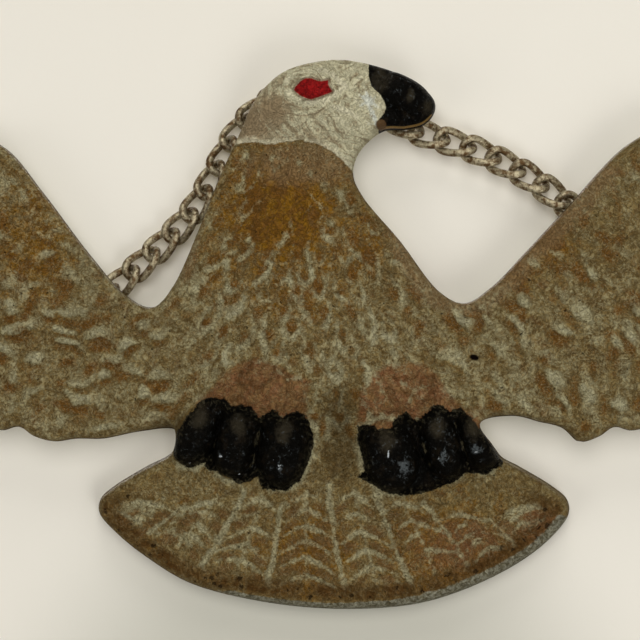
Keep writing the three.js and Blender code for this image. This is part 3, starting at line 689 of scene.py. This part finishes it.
def patch(x, z, corners):
    """How far in from a painted patch's edge each point lies, in millimetres, and less than nought outside
    and on the back."""
    inside, gap = np.zeros(len(x), bool), np.full(len(x), 1e3)
    for (x0, z0), (x1, z1) in zip(corners, corners[1:] + corners[:1]):
        dx, dz = x1 - x0, z1 - z0
        along = np.clip(((x - x0) * dx + (z - z0) * dz) / (dx * dx + dz * dz), 0, 1)
        gap = np.minimum(gap, np.hypot(x - x0 - along * dx, z - z0 - along * dz))
        inside ^= ((z0 > z) != (z1 > z)) & (x < dx * (z - z0) / (dz if dz else 1e-9) + x0)
    return np.where(inside & ~on_back, gap, -gap)


WHITE_HEAD = [(-27.3, -17.3), (-24.0, -16.2), (-20.8, -15.9), (-16.2, -16.5), (-6.8, -16.1),
              (-3.5, -16.7), (-0.3, -18.4), (2.0, -19.7), (4.3, -22.1), (6.5, -24.3), (9.0, -27.0),
              (30, -24), (30, 14), (-34, 14), (-34, -17)]
BLACK_BEAK = [(10.3, 5.7), (10.3, 1.4), (11.1, -1.4), (13.5, -3.8), (15.1, -7.0), (14.3, -8.9),
              (13.2, -10.3), (12.4, -11.7), (13.5, -14.5), (36, -15), (36, 12), (10.3, 12)]
RED_EYE = [(-9.4, -2.6), (-9.0, -1.5), (-8.1, -0.5), (-7.0, 0.3), (-5.8, 0.6), (-4.6, 0.5), (-3.4, 0.0),
           (-2.2, -0.3), (-0.3, 0.2), (-0.4, -1.2), (0.2, -2.4), (0.9, -3.0), (-0.3, -3.7), (-1.8, -4.2),
           (-3.2, -4.9), (-4.8, -5.2), (-6.4, -4.9), (-7.8, -4.2)]
LEFT_THIGH = [(-35.4, -85.3), (-31.6, -82.4), (-28.1, -78.3), (-24.6, -75.6), (-18.9, -74.0),
              (-13.5, -75.9), (-10.3, -77.8), (-4.9, -79.9), (-6.5, -84.8), (-4.9, -92.1),
              (-11.1, -95.6), (-32.7, -95.6)]
RIGHT_THIGH = [(15.7, -75.3), (23.5, -75.1), (28.1, -78.0), (33.5, -85.9), (38.9, -90.2), (42.5, -95.6),
               (11.9, -96.9), (7.0, -91.5), (7.8, -83.4), (11.1, -77.8)]
LEFT_FOOT = [(-34.8, -85.9), (-32.4, -84.2), (-27.3, -84.2), (-25.9, -86.4), (-22.7, -86.1),
             (-20.1, -86.4), (-18.4, -89.4), (-17.0, -88.8), (-15.1, -87.2), (-13.5, -88.0),
             (-12.7, -89.4), (-11.1, -88.3), (-8.4, -87.8), (-6.2, -89.1), (-4.6, -93.2), (-4.1, -96.4),
             (-5.7, -101.5), (-8.1, -106.1), (-11.6, -108.8), (-18.1, -108.5), (-19.2, -105.0),
             (-21.3, -106.4), (-24.8, -107.2), (-27.5, -105.0), (-30.5, -104.0), (-33.2, -103.4),
             (-33.5, -101.2), (-37.8, -103.1), (-41.6, -100.4), (-41.9, -97.3), (-40.2, -93.2),
             (-37.8, -89.4)]
RIGHT_FOOT = [(7.3, -91.8), (11.3, -91.3), (12.7, -92.6), (15.9, -92.3), (16.7, -90.2), (20.2, -87.8),
              (23.0, -90.2), (24.8, -88.3), (28.4, -85.9), (31.6, -87.5), (34.6, -86.9), (40.0, -92.9),
              (43.5, -97.7), (45.9, -101.0), (44.8, -102.6), (41.3, -104.5), (35.9, -104.0),
              (32.4, -106.7), (26.5, -108.8), (22.1, -109.9), (18.9, -110.2), (13.5, -108.8),
              (11.3, -107.2), (7.3, -105.3), (9.2, -102.6), (7.3, -96.4)]


def blot(centre_x, centre_z, radius_x, radius_z):
    return np.exp(-(((x - centre_x) / radius_x) ** 2 + ((z - centre_z) / radius_z) ** 2))


def domes(places):
    return np.max([dome(x, z, *place) for place in places], axis=0)


# Where the brown undercoat shows: middle, half width and half height, and strength.
WARM_SPOTS = [((-13, -34, 17, 18), 1.1), ((-10, -52, 16, 14), 0.6), ((-27, -50, 9, 9), 0.55),
              ((8, -45, 9, 10), 0.6), ((48, -50, 6.5, 5.5), 0.85), ((57, -42, 8, 7), 0.85),
              ((-80, -42, 14, 22), 0.6), ((-48, -118, 16, 10), 0.2), ((-6, -124, 15, 12), 0.6),
              ((30, -122, 20, 13), 0.6), ((-20.5, -10.5, 6, 7), 1.0), ((-15.5, -8, 5.5, 5), 0.95)]
# Painted highlights: a sheen on toes and beak, bluish painted reflections and small painted glints on the
# black, and a white painted highlight with rays by the beak.
BEAK_EDGE = [(15.0, 4.0), (19.6, 2.4), (23.4, 0.0), (25.8, -3.4)]
# Bluish painted reflections on the toes.
PAINTED_GLEAMS = [(19.6, -102.4, 2.8, 4.4), (29.9, -99.8, 1.8, 3.2), (38.0, -97.8, 2.4, 2.0),
          (-13.0, -102.6, 1.2, 3.4), (-29.0, -99.6, 1.4, 1.0)]
# Small pale painted glints on the black toes.
PAINTED_GLINTS = [(-28.8, -99.7, 0.9, 0.45), (-14.9, -100.7, 0.45, 0.45), (-13.2, -102.3, 0.4, 2.0),
         (-24.0, -104.6, 0.9, 0.3), (28.6, -99.9, 0.6, 0.4), (38.3, -98.3, 0.5, 0.6),
         (15.4, -99.0, 0.3, 1.4), (-37.0, -101.6, 0.9, 0.3)]
CHEEK_HIGHLIGHT_RAYS = [((7.6, -3.6), (12.6, -7.0)), ((9.6, -2.4), (10.8, -8.6)), ((12.2, -4.4), (8.2, -6.8)),
              ((11.0, -7.0), (12.6, -12.4))]
DEEP_CUT, DEEP_HOLLOW = 0.4, 0.15

warm = np.max([strength * blot(*place) for place, strength in WARM_SPOTS], axis=0)
taupe = blot(-7, -22, 17, 7) + blot(-39, -45, 5, 10) ** 1.2
right_neck = smoothstep(x, 10, 20) * smoothstep(-z, 20, 26) * (1 - smoothstep(-z, 60, 66))
taupe += 0.9 * np.exp(-(((edge_gap - 2) / 4) ** 2)) * right_neck
to_right = smoothstep(x, -45, -10)
lower_right = to_right * smoothstep(-edge_out[:, 1], 0.3, 0.6) * (z < -104)
bare = np.where(on_face, lower_right * (1 - smoothstep(edge_gap, 1.6, 2.6 + 1.6 * smoothstep(x, -10, 40))),
                np.where(back > 0.1, np.maximum(0.1, lower_right), 1.0))
rim_band = (1 - smoothstep(np.abs(edge_gap - 3.4 - 1.4 * to_right), 1.0, 3.4)) * smoothstep(-z, 106, 114)
worn_lip = smoothstep(edge_out @ np.array((0.3, -0.95)), 0.6, 0.9) * smoothstep(drop, 0.3, 1.4)
worn_lip *= (z > -16) * (x > 14)
# Painted light and shade on the wings: the wash is laid pale on each swelling's top and kept out of the cuts,
# the hollows and the hollow below each swelling, which is painted brown as shade.
wing_light_and_shade = wing_share * (0.6 * cuts / DEEP_CUT + 0.5 * hollow / DEEP_HOLLOW) - 1.1 * crests + 1.3 * troughs
wash = 0.35 * cuts / DEEP_CUT + 0.85 * soaked / DEEP_CUT + 0.4 * hollow / DEEP_HOLLOW
wash = np.clip(wash - 0.5 * wing_cuts / WING_LINE_DEPTH - wing_light_and_shade, -0.9, 1.4) + 2.4 * scratch + 1.1 * flecks
haze = smoothstep(-z, 42, 62) * (1 - 0.7 * smoothstep(-z, 98, 106)) + 0.8 * smoothstep(-x, 28, 36) * (z > -60)
haze += 1.2 * (1 - smoothstep(edge_gap, 3, 10)) * (x < -10) * smoothstep(z, -60, -50)
haze += 0.5 * smoothstep(-x, 20, 45) * (z < -106) - 0.2 * smoothstep(x, 50, 60)
haze += 0.8 * dome(x, z, 44, -80, 27, 22)
# Painted highlights: a sheen near the top of each toe and along the beak's ridge and tip.
painted_sheen = domes([(a + 0.25 * (c - a), b + 0.25 * (d - b), 3.6, 4.8) for (a, b), (c, d), _ in TOES])
painted_sheen = np.max([painted_sheen, 0.5 * carve(x, z, path(BEAK_EDGE, 2.0, 1.0)), 0.8 * dome(x, z, 26.2, -6.8, 2.2, 3.4),
                0.8 * dome(x, z, 13.4, 0.4, 4.2, 6.8), 1.1 * dome(x, z, 21.5, -4.2, 1.9, 3.2)], axis=0)
# A painted highlight: a bluish white patch with rays on the cheek by the beak.
cheek_highlight = np.max([carve(x, z, [(a, b, 1.2, 1.2, 0.5) for a, b in CHEEK_HIGHLIGHT_RAYS]),
                0.8 * dome(x, z, 10.2, -5.2, 3.2, 2.8), 0.45 * dome(x, z, 10.6, -10.0, 2.6, 5.0)], axis=0)
# Painted shade between the feet, beside the left foot, and on the casting's side walls.
painted_shade = 1.3 * dome(x, z, 3.0, -99.0, 6.5, 11.0) + 0.8 * dome(x, z, 3.0, -86.0, 8, 9)
painted_shade += 0.6 * dome(x, z, -41, -90.5, 8, 4) + 0.7 * (back > 0.1) * (1 - lower_right)
fields = {
    "rust": dome(x, z, 56, -119, 9, 9) + 0.6 * dome(x, z, 34, -124, 22, 12) + 0.5 * dome(x, z, 38, -90, 7, 6),
    "tail": smoothstep(-z, 98, 106), "wash": wash, "warm": warm - 0.8 * flecks,
    # The vane field also carries painted shade, in the hollow below each wing swelling.
    "vane_and_painted_shade": brown_vanes + 0.9 * troughs, "fold": carve(x, z, toe_folds) / FOLD_DEPTH,
    "taupe": np.clip(taupe, 0, 1), "bare": bare, "rim_band": rim_band * on_face,
    "worn_lip": worn_lip * on_face, "bead": dome(x, z, 13.6, -11.7, 2.0, 1.9) * on_face,
    "cheek_highlight": cheek_highlight * on_face,
    "lid": smoothstep(carve(x, z, [(a, b, 2.2, 1.0, 0.0) for a, b, *rest in lid_lines]), 0.35, 0.9),
    "bright": smoothstep(x, -16, 8) + 0.8 * dome(x, z, -8, -12.5, 5.5, 4), "haze": haze, "painted_shade": painted_shade,
    "painted_sheen": painted_sheen * on_face, "painted_glint": domes(PAINTED_GLINTS) * on_face, "painted_gleam": domes(PAINTED_GLEAMS) * on_face,
    "white_head": patch(x, z, WHITE_HEAD), "black_beak": patch(x, z, BLACK_BEAK),
    "red_eye": patch(x, z, RED_EYE), "thigh": np.maximum(patch(x, z, LEFT_THIGH), patch(x, z, RIGHT_THIGH)),
    "foot": np.maximum(patch(x, z, LEFT_FOOT), patch(x, z, RIGHT_FOOT)), "pit": pit}
for name in ("drop", "back"):
    eagle_mesh.attributes.remove(eagle_mesh.attributes[name])
for name, values in fields.items():
    eagle_mesh.attributes.new(name, "FLOAT", "POINT").data.foreach_set("value", values)

# Cold paint over the whole front: tan olive, chestnut on the raised vanes and the breast, and a pale
# grey-green wash that has stayed in the carving, with painted light and shade on the wings' swellings and
# painted shade between the feet and on the sides. All of it is dabbed on and grained with grit.
OLIVE, OLIVE_SHADE, GRIME = colour(124, 106, 66), colour(94, 74, 40), colour(58, 44, 18)
CHESTNUT, CARAMEL, TAUPE = colour(104, 70, 26), colour(122, 86, 20), colour(124, 100, 68)
WASH, WASH_BRIGHT, RUSSET = colour(158, 152, 118), colour(190, 188, 160), colour(122, 80, 52)
RUSSET_DARK, TAIL_BROWN, RIM_BROWN = colour(80, 52, 26), colour(106, 80, 46), colour(74, 50, 20)
WRINKLE_BROWN, SHADE_BROWN = colour(80, 62, 30), colour(66, 50, 24)

paint = Recipe("painted_casting")
dust, fine = paint.cloud(1900, 3, 0.6, swirl=0.6), paint.cloud(940, 4, 0.7, swirl=0.6)
mid, broad = paint.cloud(330, 5, 0.66), paint.cloud(80, 3, 0.55)
dabs = paint.cloud(210, 5, 0.68, swirl=1.6)
body = paint.coat(OLIVE, OLIVE_SHADE, dabs, 0.62, 0.36, 0.8)
earth = paint.coat(CHESTNUT, CARAMEL, dabs, 0.4, 0.6)
body = paint.dab(body, earth, paint.broken("warm", mid, 1.6), dabs, 1.6, 0.05, 0.75)
vane_brown = paint.cover("tail", CHESTNUT, TAIL_BROWN)
# Chestnut on the vanes, and painted shade in the hollow below each wing swelling.
body = paint.dab(body, vane_brown, paint.broken("vane_and_painted_shade", fine, 1.6), mid, 1.4, 0.1, 0.95, 0.9)
body = paint.dab(body, TAUPE, "taupe", mid, 1.0, 0.2, 0.8, 0.8)
body = paint.dab(body, RUSSET, "rust", mid, 1.6, 0.0, 0.9, 0.7)
thigh = paint.ragged("thigh", 3.0, 0.9, mid)
body = paint.cover(paint.times(thigh, paint.step(mid, 0.35, 0.6, 0.9, 0.45)), body, RUSSET)
body = paint.cover(paint.times(thigh, paint.step(dabs, 0.52, 0.36, 0, 0.7)), body, RUSSET_DARK)
wash = paint.broken(paint.broken("wash", fine, 3.2), dabs, 1.8)
for field, amount in (("haze", 0.25), ("warm", -0.4), ("vane_and_painted_shade", -0.6), (thigh, -0.3)):
    wash = paint.plus(wash, field, amount)
body = paint.coat(body, WASH, wash, 0.0, 1.35, 0.8)
body = paint.coat(body, WASH_BRIGHT, wash, 1.0, 2.4, 0.5)
wrinkle = paint.apart(paint.cloud(520, 3, 0.55, swirl=2.2), 0.5)
seam = paint.apart(paint.cloud(390, 3, 0.55, swirl=1.6), 0.47)
seam = paint.times(paint.step(seam, 0.035, 0.0, 0, 0.34), paint.step("warm", 0.9, 0.3, 0.2, 1))
calm_skin = paint.plus(1.0, thigh, -0.6)
body = paint.cover(paint.times(seam, calm_skin), body, WASH)
body = paint.cover(paint.times(paint.step(wrinkle, 0.032, 0.0, 0, 0.44), calm_skin), body, WRINKLE_BROWN)
pale_grit = paint.times(paint.step(dust, 0.5, 0.7, 0, 0.28), paint.step("warm", 0.9, 0.2))
body = paint.cover(paint.times(pale_grit, calm_skin), body, WASH)
# Painted shade: dark brown between the feet, beside the left foot and on the side walls.
body = paint.dab(body, SHADE_BROWN, "painted_shade", mid, 1.6, -0.1, 0.9, 0.65)
body = paint.cover(paint.times(paint.step(fine, 0.48, 0.3, 0, 0.58), calm_skin), body, GRIME)
rim_shade = paint.times("rim_band", paint.step(mid, 0.38, 0.6, 0.95, 0.45))
body = paint.cover(rim_shade, body, RIM_BROWN)

# The head is brushed with streaky off-white that follows the form round the eye, over a brown ground.
HEAD_BROWN, HEAD_SHADE = colour(136, 118, 90), colour(160, 149, 120)
HEAD_TONE, HEAD_CREAM, HIGHLIGHT_WHITE = colour(192, 187, 156), colour(212, 206, 177), colour(214, 218, 206)
STREAK_BROWN, SPECK_BROWN = colour(104, 88, 62), colour(104, 90, 66)
LANE_WIDTH, HEAD_STRETCH = (2.4, 0.0, 2.4), (1.0, 0.0, 1.25)
ROUND_EYE, FROM_BEAK = (-0.0047, -0.0024, 800.0), (0.018, -0.004, 640.0)
wander = paint.plus(paint.times(mid, 0.9), broad, 5.0)


def brushed_round(x, z, lanes):
    """Streaks of a brush that went round one point of the head, and the distance from that point."""
    offset = paint.add("VectorMath", {0: paint.place, 1: (x, 0.0, z)}, operation="SUBTRACT")
    offset = paint.add("VectorMath", {0: offset, 1: HEAD_STRETCH}, operation="MULTIPLY")
    reach = paint.add("VectorMath", {0: offset}, out="Value", operation="LENGTH")
    way = paint.add("VectorMath", {0: offset}, operation="NORMALIZE")
    lane = paint.add("CombineXYZ", {0: paint.plus(wander, reach, lanes), 1: 0.0, 2: 0.0})
    lane = paint.add("VectorMath", {0: way, 1: LANE_WIDTH, 2: lane}, operation="MULTIPLY_ADD")
    return paint.cloud(1.0, 4, 0.66, lane, 0.3), reach


rings, eye_reach = brushed_round(*ROUND_EYE)
combed = brushed_round(*FROM_BEAK)[0]
strokes = paint.blend(paint.step(eye_reach, 0.007, 0.013), rings, combed)
head = paint.dab(HEAD_SHADE, HEAD_BROWN, "warm", mid, 1.4, 0.15, 0.8, 0.9)
tone = paint.broken(paint.plus(paint.plus(-1.8, fine, 1.2), strokes, 2.4), mid, 0.9)
for field, amount in (("bright", 0.25), ("warm", -0.6), ("lid", 0.5)):
    tone = paint.plus(tone, field, amount)
head = paint.coat(head, HEAD_TONE, tone, -0.2, 0.3)
head = paint.coat(head, HEAD_CREAM, tone, 0.3, 0.8, 0.85)
head = paint.dab(head, HEAD_CREAM, "white_head", mid, -5.0, 1.6, 0.1, 0.6)
# Painted highlight: bluish white on the cheek by the beak.
head = paint.dab(head, HIGHLIGHT_WHITE, "cheek_highlight", fine, 2.0, 0.3, 1.0, 0.85)
head = paint.coat(head, STREAK_BROWN, strokes, 0.48, 0.36, 0.4)
head = paint.coat(head, SPECK_BROWN, fine, 0.44, 0.3, 0.5)
white = paint.ragged("white_head", 2.6, 0.25, mid)
skin = paint.cover(white, body, head)

# Casting flaws stay dark: pinholes, thickest in the tail's rim, and bare metal where the edge has worn.
PIT_BLACK, HOLE_BLACK = colour(34, 24, 10), colour(14, 7, 4)
METAL_GREY, METAL_DARK = colour(140, 138, 120), colour(88, 82, 62)
JOG_SCALE, JOG, PITS = 1500, (0.0014, 0.0014, 0.0014), 430
jog = paint.add("TexNoise", {"Vector": paint.place, "Scale": JOG_SCALE}, out="Color")
jogged = paint.add("VectorMath", {0: jog, 1: JOG, 2: paint.place}, operation="MULTIPLY_ADD")
pit_kind = paint.add("TexVoronoi", {"Vector": jogged, "Scale": PITS}, out="Color")
pit_gap = paint.add("TexVoronoi", {"Vector": jogged, "Scale": PITS}, out="Distance")
pit_size = paint.add("SeparateColor", {"Color": pit_kind}, out="Red")
pit_size = paint.plus(paint.times(pit_size, 0.16), "rim_band", 0.2)
pit_size = paint.times(pit_size, paint.step(dabs, 0.38, 0.56))
pinholes = paint.step(paint.sums("SUBTRACT", pit_size, pit_gap), -0.03, 0.06)
pinholes = paint.sums("MAXIMUM", pinholes, paint.step("pit", 0.2, 0.6))
pinholes = paint.times(pinholes, paint.without(paint.times(white, 0.8)))
skin = paint.cover(paint.times(pinholes, 0.8), skin, PIT_BLACK)
skin = paint.coat(skin, HOLE_BLACK, "pit", 0.25, 0.6)
metal = paint.coat(METAL_DARK, METAL_GREY, fine, 0.38, 0.64)
bare = paint.step(paint.broken("bare", mid, 1.3), 0.3, 0.6)
skin = paint.cover(bare, skin, metal)
painted = paint.without(bare)

# Red enamel for the eye; black for the beak and toes, thin and brown where it is rubbed, with painted
# highlights, reflections and glints on it, a tan lip and a bead of paint at the corner of the beak.
EYE_RED, EYE_DARK, LID_BROWN = colour(150, 24, 24), colour(112, 18, 18), colour(92, 62, 48)
PAINT_BLACK, BLACK_BROWN, BLACK_PAINTED_SHEEN = colour(5, 4, 2), colour(22, 17, 10), colour(50, 45, 34)
LIP_TAN, BEAD_BROWN, CRUST = colour(124, 98, 54), colour(90, 68, 44), colour(66, 60, 42)
PAINTED_GLEAM_GREY, GLINT_GREY = colour(84, 90, 92), colour(172, 178, 182)
red = paint.times(paint.ragged("red_eye", 0.9, 0.16, mid), painted)
eye_line = paint.step(paint.apart("red_eye", -0.25), 0.5, 0.1, 0, 0.55)
skin = paint.cover(paint.times(eye_line, painted), skin, LID_BROWN)
skin = paint.cover(red, skin, paint.coat(EYE_DARK, EYE_RED, fine, 0.38, 0.6))
crumble = paint.times(paint.sums("ADD", mid, fine), 0.5)
beak = paint.ragged("black_beak", 1.1, 0.12, mid)
foot = paint.ragged("foot", 4.0, 0.16, crumble)
black = paint.times(paint.sums("MAXIMUM", beak, foot), painted)
enamel = paint.coat(PAINT_BLACK, BLACK_BROWN, mid, 0.5, 0.7)
# Painted highlight: sheen on the toes and beak.
enamel = paint.dab(enamel, BLACK_PAINTED_SHEEN, "painted_sheen", crumble, 2.4, 0.1, 1.0, 0.8)
# Painted reflection: bluish grey patches on the toes.
enamel = paint.dab(enamel, PAINTED_GLEAM_GREY, "painted_gleam", fine, 4.6, 0.3, 1.3, 0.8)
crusty = paint.times(paint.step(paint.plus("foot", mid, 2.0), 4.0, 1.6), foot)
enamel = paint.cover(paint.times(crusty, paint.step(fine, 0.5, 0.64, 0, 0.7)), enamel, CRUST)
enamel = paint.dab(enamel, METAL_DARK, "fold", mid, 2.4, 0.95, 1.2, 0.6)
# Painted glints: small pale flecks on the black.
enamel = paint.dab(enamel, GLINT_GREY, "painted_glint", fine, 1.6, 0.35, 0.6)
skin = paint.cover(black, skin, enamel)
skin = paint.coat(skin, LIP_TAN, "worn_lip", 0.3, 0.7)
skin = paint.coat(skin, BEAD_BROWN, "bead", 0.15, 0.45, 0.9)
gloss = paint.blend(black, paint.step(mid, 0.2, 0.8, 0.55, 0.72), paint.step(fine, 0.3, 0.7, 0.44, 0.24))
relief = paint.plus(paint.times(mid, 0.6), fine, 0.45)
relief = paint.plus(relief, dust, 0.2)
relief = paint.plus(relief, paint.step(wrinkle, 0.0, 0.06), 0.35)
relief = paint.sums("SUBTRACT", relief, paint.times(pinholes, 0.9))
relief = paint.sums("ADD", relief, paint.times(paint.times(strokes, white), 0.4))
crumbs = paint.times(paint.step(dust, 0.4, 0.65), crusty)
relief = paint.plus(relief, crumbs, 0.8)
paint.surface({"Base Color": skin, "Roughness": paint.blend(red, gloss, 0.45), "Specular IOR Level": 0.035,
               "Normal": paint.bump(relief, paint.plus(0.9, black, -0.3), 0.0008)})

# The chain hooks into two eyes cast on the backs of the wings, each a ring on a stout foot, unpainted.
LINK_PITCH, LINK_TWIST = 7.4, 0.7
EYE_RADIUS, EYE_WIRE, EYE_DEPTH, EYE_PAST_JOINT = 3.15, 0.9, 3.6, 1.05
FOOT_TOP, FOOT_ROOT, FOOT_HEIGHT, FOOT_SUNK = 1.5, 2.1, 3.4, 1.9
EYE_SIDES, EYE_STEPS, FOOT_SIDES = 14, 36, 24
LINK_COUNT, OFF_PATCH = 25, -50
PATCHES = ("white_head", "black_beak", "red_eye", "thigh", "foot")


def link_line(number):
    """Middle of a chain link in the part, and its heading to the viewer's right."""
    node = bpy.data.objects[f"chain_link_{number:02d}"]
    points = np.array([node.matrix_world @ v.co for v in node.data.vertices])
    spread = points[:, (0, 2)] - points.mean(0)[[0, 2]]
    heading = np.linalg.eigh(spread.T @ spread)[1][:, 1]
    heading *= math.copysign(1, heading[0])
    return Vector(points.mean(0)), Vector((heading[0], 0, heading[1]))


bm = bmesh.new()
bm.from_mesh(eagle_mesh)
cast_before = set(bm.verts)
for number, end in ((1, -1), (LINK_COUNT, 1)):
    middle, heading = link_line(number)
    outwards = heading * end
    centre = middle + outwards * (LINK_PITCH / 2 + EYE_PAST_JOINT) * MM
    centre.y = -EYE_DEPTH * MM
    up = Vector((0, 1, 0))
    up.rotate(Quaternion(-outwards, LINK_TWIST))
    across = outwards.cross(up)
    section = Matrix((outwards, across, up)).transposed().to_4x4()
    section.translation = centre + outwards * EYE_RADIUS * MM
    circle = bmesh.ops.create_circle(bm, segments=EYE_SIDES, radius=EYE_WIRE * MM, matrix=section)["verts"]
    edges = once(e for v in circle for e in v.link_edges)
    bmesh.ops.spin(bm, geom=circle + edges, cent=centre, axis=across, angle=2 * math.pi,
                   steps=EYE_STEPS, use_merge=True)
    foot_place = centre - up * EYE_RADIUS * MM - Vector((0, FOOT_SUNK, 0)) * MM
    upright = Matrix.Translation(foot_place) @ Matrix.Rotation(-math.pi / 2, 4, "X")
    bmesh.ops.create_cone(bm, cap_ends=True, segments=FOOT_SIDES, radius1=FOOT_TOP * MM,
                          radius2=FOOT_ROOT * MM, depth=FOOT_HEIGHT * MM, matrix=upright)
new_verts = [v for v in bm.verts if v not in cast_before]
for name in ("bare", *PATCHES):
    layer = bm.verts.layers.float[name]
    for v in new_verts:
        v[layer] = 1 if name == "bare" else OFF_PATCH
new_faces = once(f for v in new_verts for f in v.link_faces)
bmesh.ops.recalc_face_normals(bm, faces=new_faces)
for f in new_faces:
    f.smooth = True
bm.to_mesh(eagle_mesh)
bm.free()

eagle_mesh.materials.append(paint.material)
eagle = in_scene("eagle_casting", eagle_mesh)
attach(eagle, "root")
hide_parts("eagle")


# A curb chain of round nickel wire, each link twisted and its outer faces flattened, hooked into the
# next. Its ends hang in the cast eyes on the backs of the wings.
WIRE, LINK_WIDTH, LINK_PLAY, LINK_ROLL = 2.1, 8.2, 0.8, 0.35
LINK_STEPS, FLAT_AT = 56, 2.65
NICKEL_BROWN, NICKEL_PALE, LINK_DIRT = colour(92, 68, 38), colour(172, 162, 134), colour(64, 46, 22)

nickel = Recipe("tarnished_nickel")
tarnish = nickel.cloud(650, 4, 0.6)
grit = nickel.cloud(1500, 4, 0.7)
shade = nickel.coat(NICKEL_BROWN, NICKEL_PALE, tarnish, 0.38, 0.6)
shade = nickel.coat(shade, LINK_DIRT, grit, 0.5, 0.34, 0.7)
nickel.surface({"Base Color": shade, "Metallic": 0.75, "Normal": nickel.bump(grit, 0.7, 0.0002),
                "Roughness": nickel.step(tarnish, 0.3, 0.7, 0.58, 0.34)})

round_end = (LINK_WIDTH - WIRE) / 2
half_link = (LINK_PITCH + WIRE + LINK_PLAY) / 2
wire_line = bpy.data.curves.new("link_wire", "CURVE")
wire_line.dimensions = "3D"
wire_line.bevel_depth, wire_line.bevel_resolution = WIRE / 2, 3
turn = wire_line.splines.new("POLY")
turn.points.add(LINK_STEPS - 1)
turn.use_cyclic_u = True
for i, point in enumerate(turn.points):
    t = 2 * math.pi * i / LINK_STEPS
    along = (half_link - round_end) * math.tanh(5 * math.cos(t)) + round_end * math.cos(t)
    out = round_end * math.sin(t)
    twist = LINK_ROLL + LINK_TWIST * along / half_link
    point.co = (along, out * math.sin(twist), out * math.cos(twist), 1)
wire_object = bpy.data.objects.new("link_wire", wire_line)
link_form = bpy.data.meshes.new_from_object(wire_object)
bpy.data.objects.remove(wire_object)
for v in link_form.vertices:
    v.co.y = math.copysign(min(abs(v.co.y), FLAT_AT), v.co.y)
    v.co *= MM

for i in range(1, LINK_COUNT + 1):
    middle, heading = link_line(i)
    lie = Matrix.Rotation(-math.atan2(heading.z, heading.x), 4, "Y")
    link_mesh = link_form.copy()
    link_mesh.transform(Matrix.Translation(middle) @ lie)
    link_mesh.polygons.foreach_set("use_smooth", np.ones(len(link_mesh.polygons), bool))
    link_mesh.materials.append(nickel.material)
    link = in_scene(f"curb_link_{i:02d}", link_mesh)
    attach(link, "root")
    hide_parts(f"chain_link_{i:02d}")
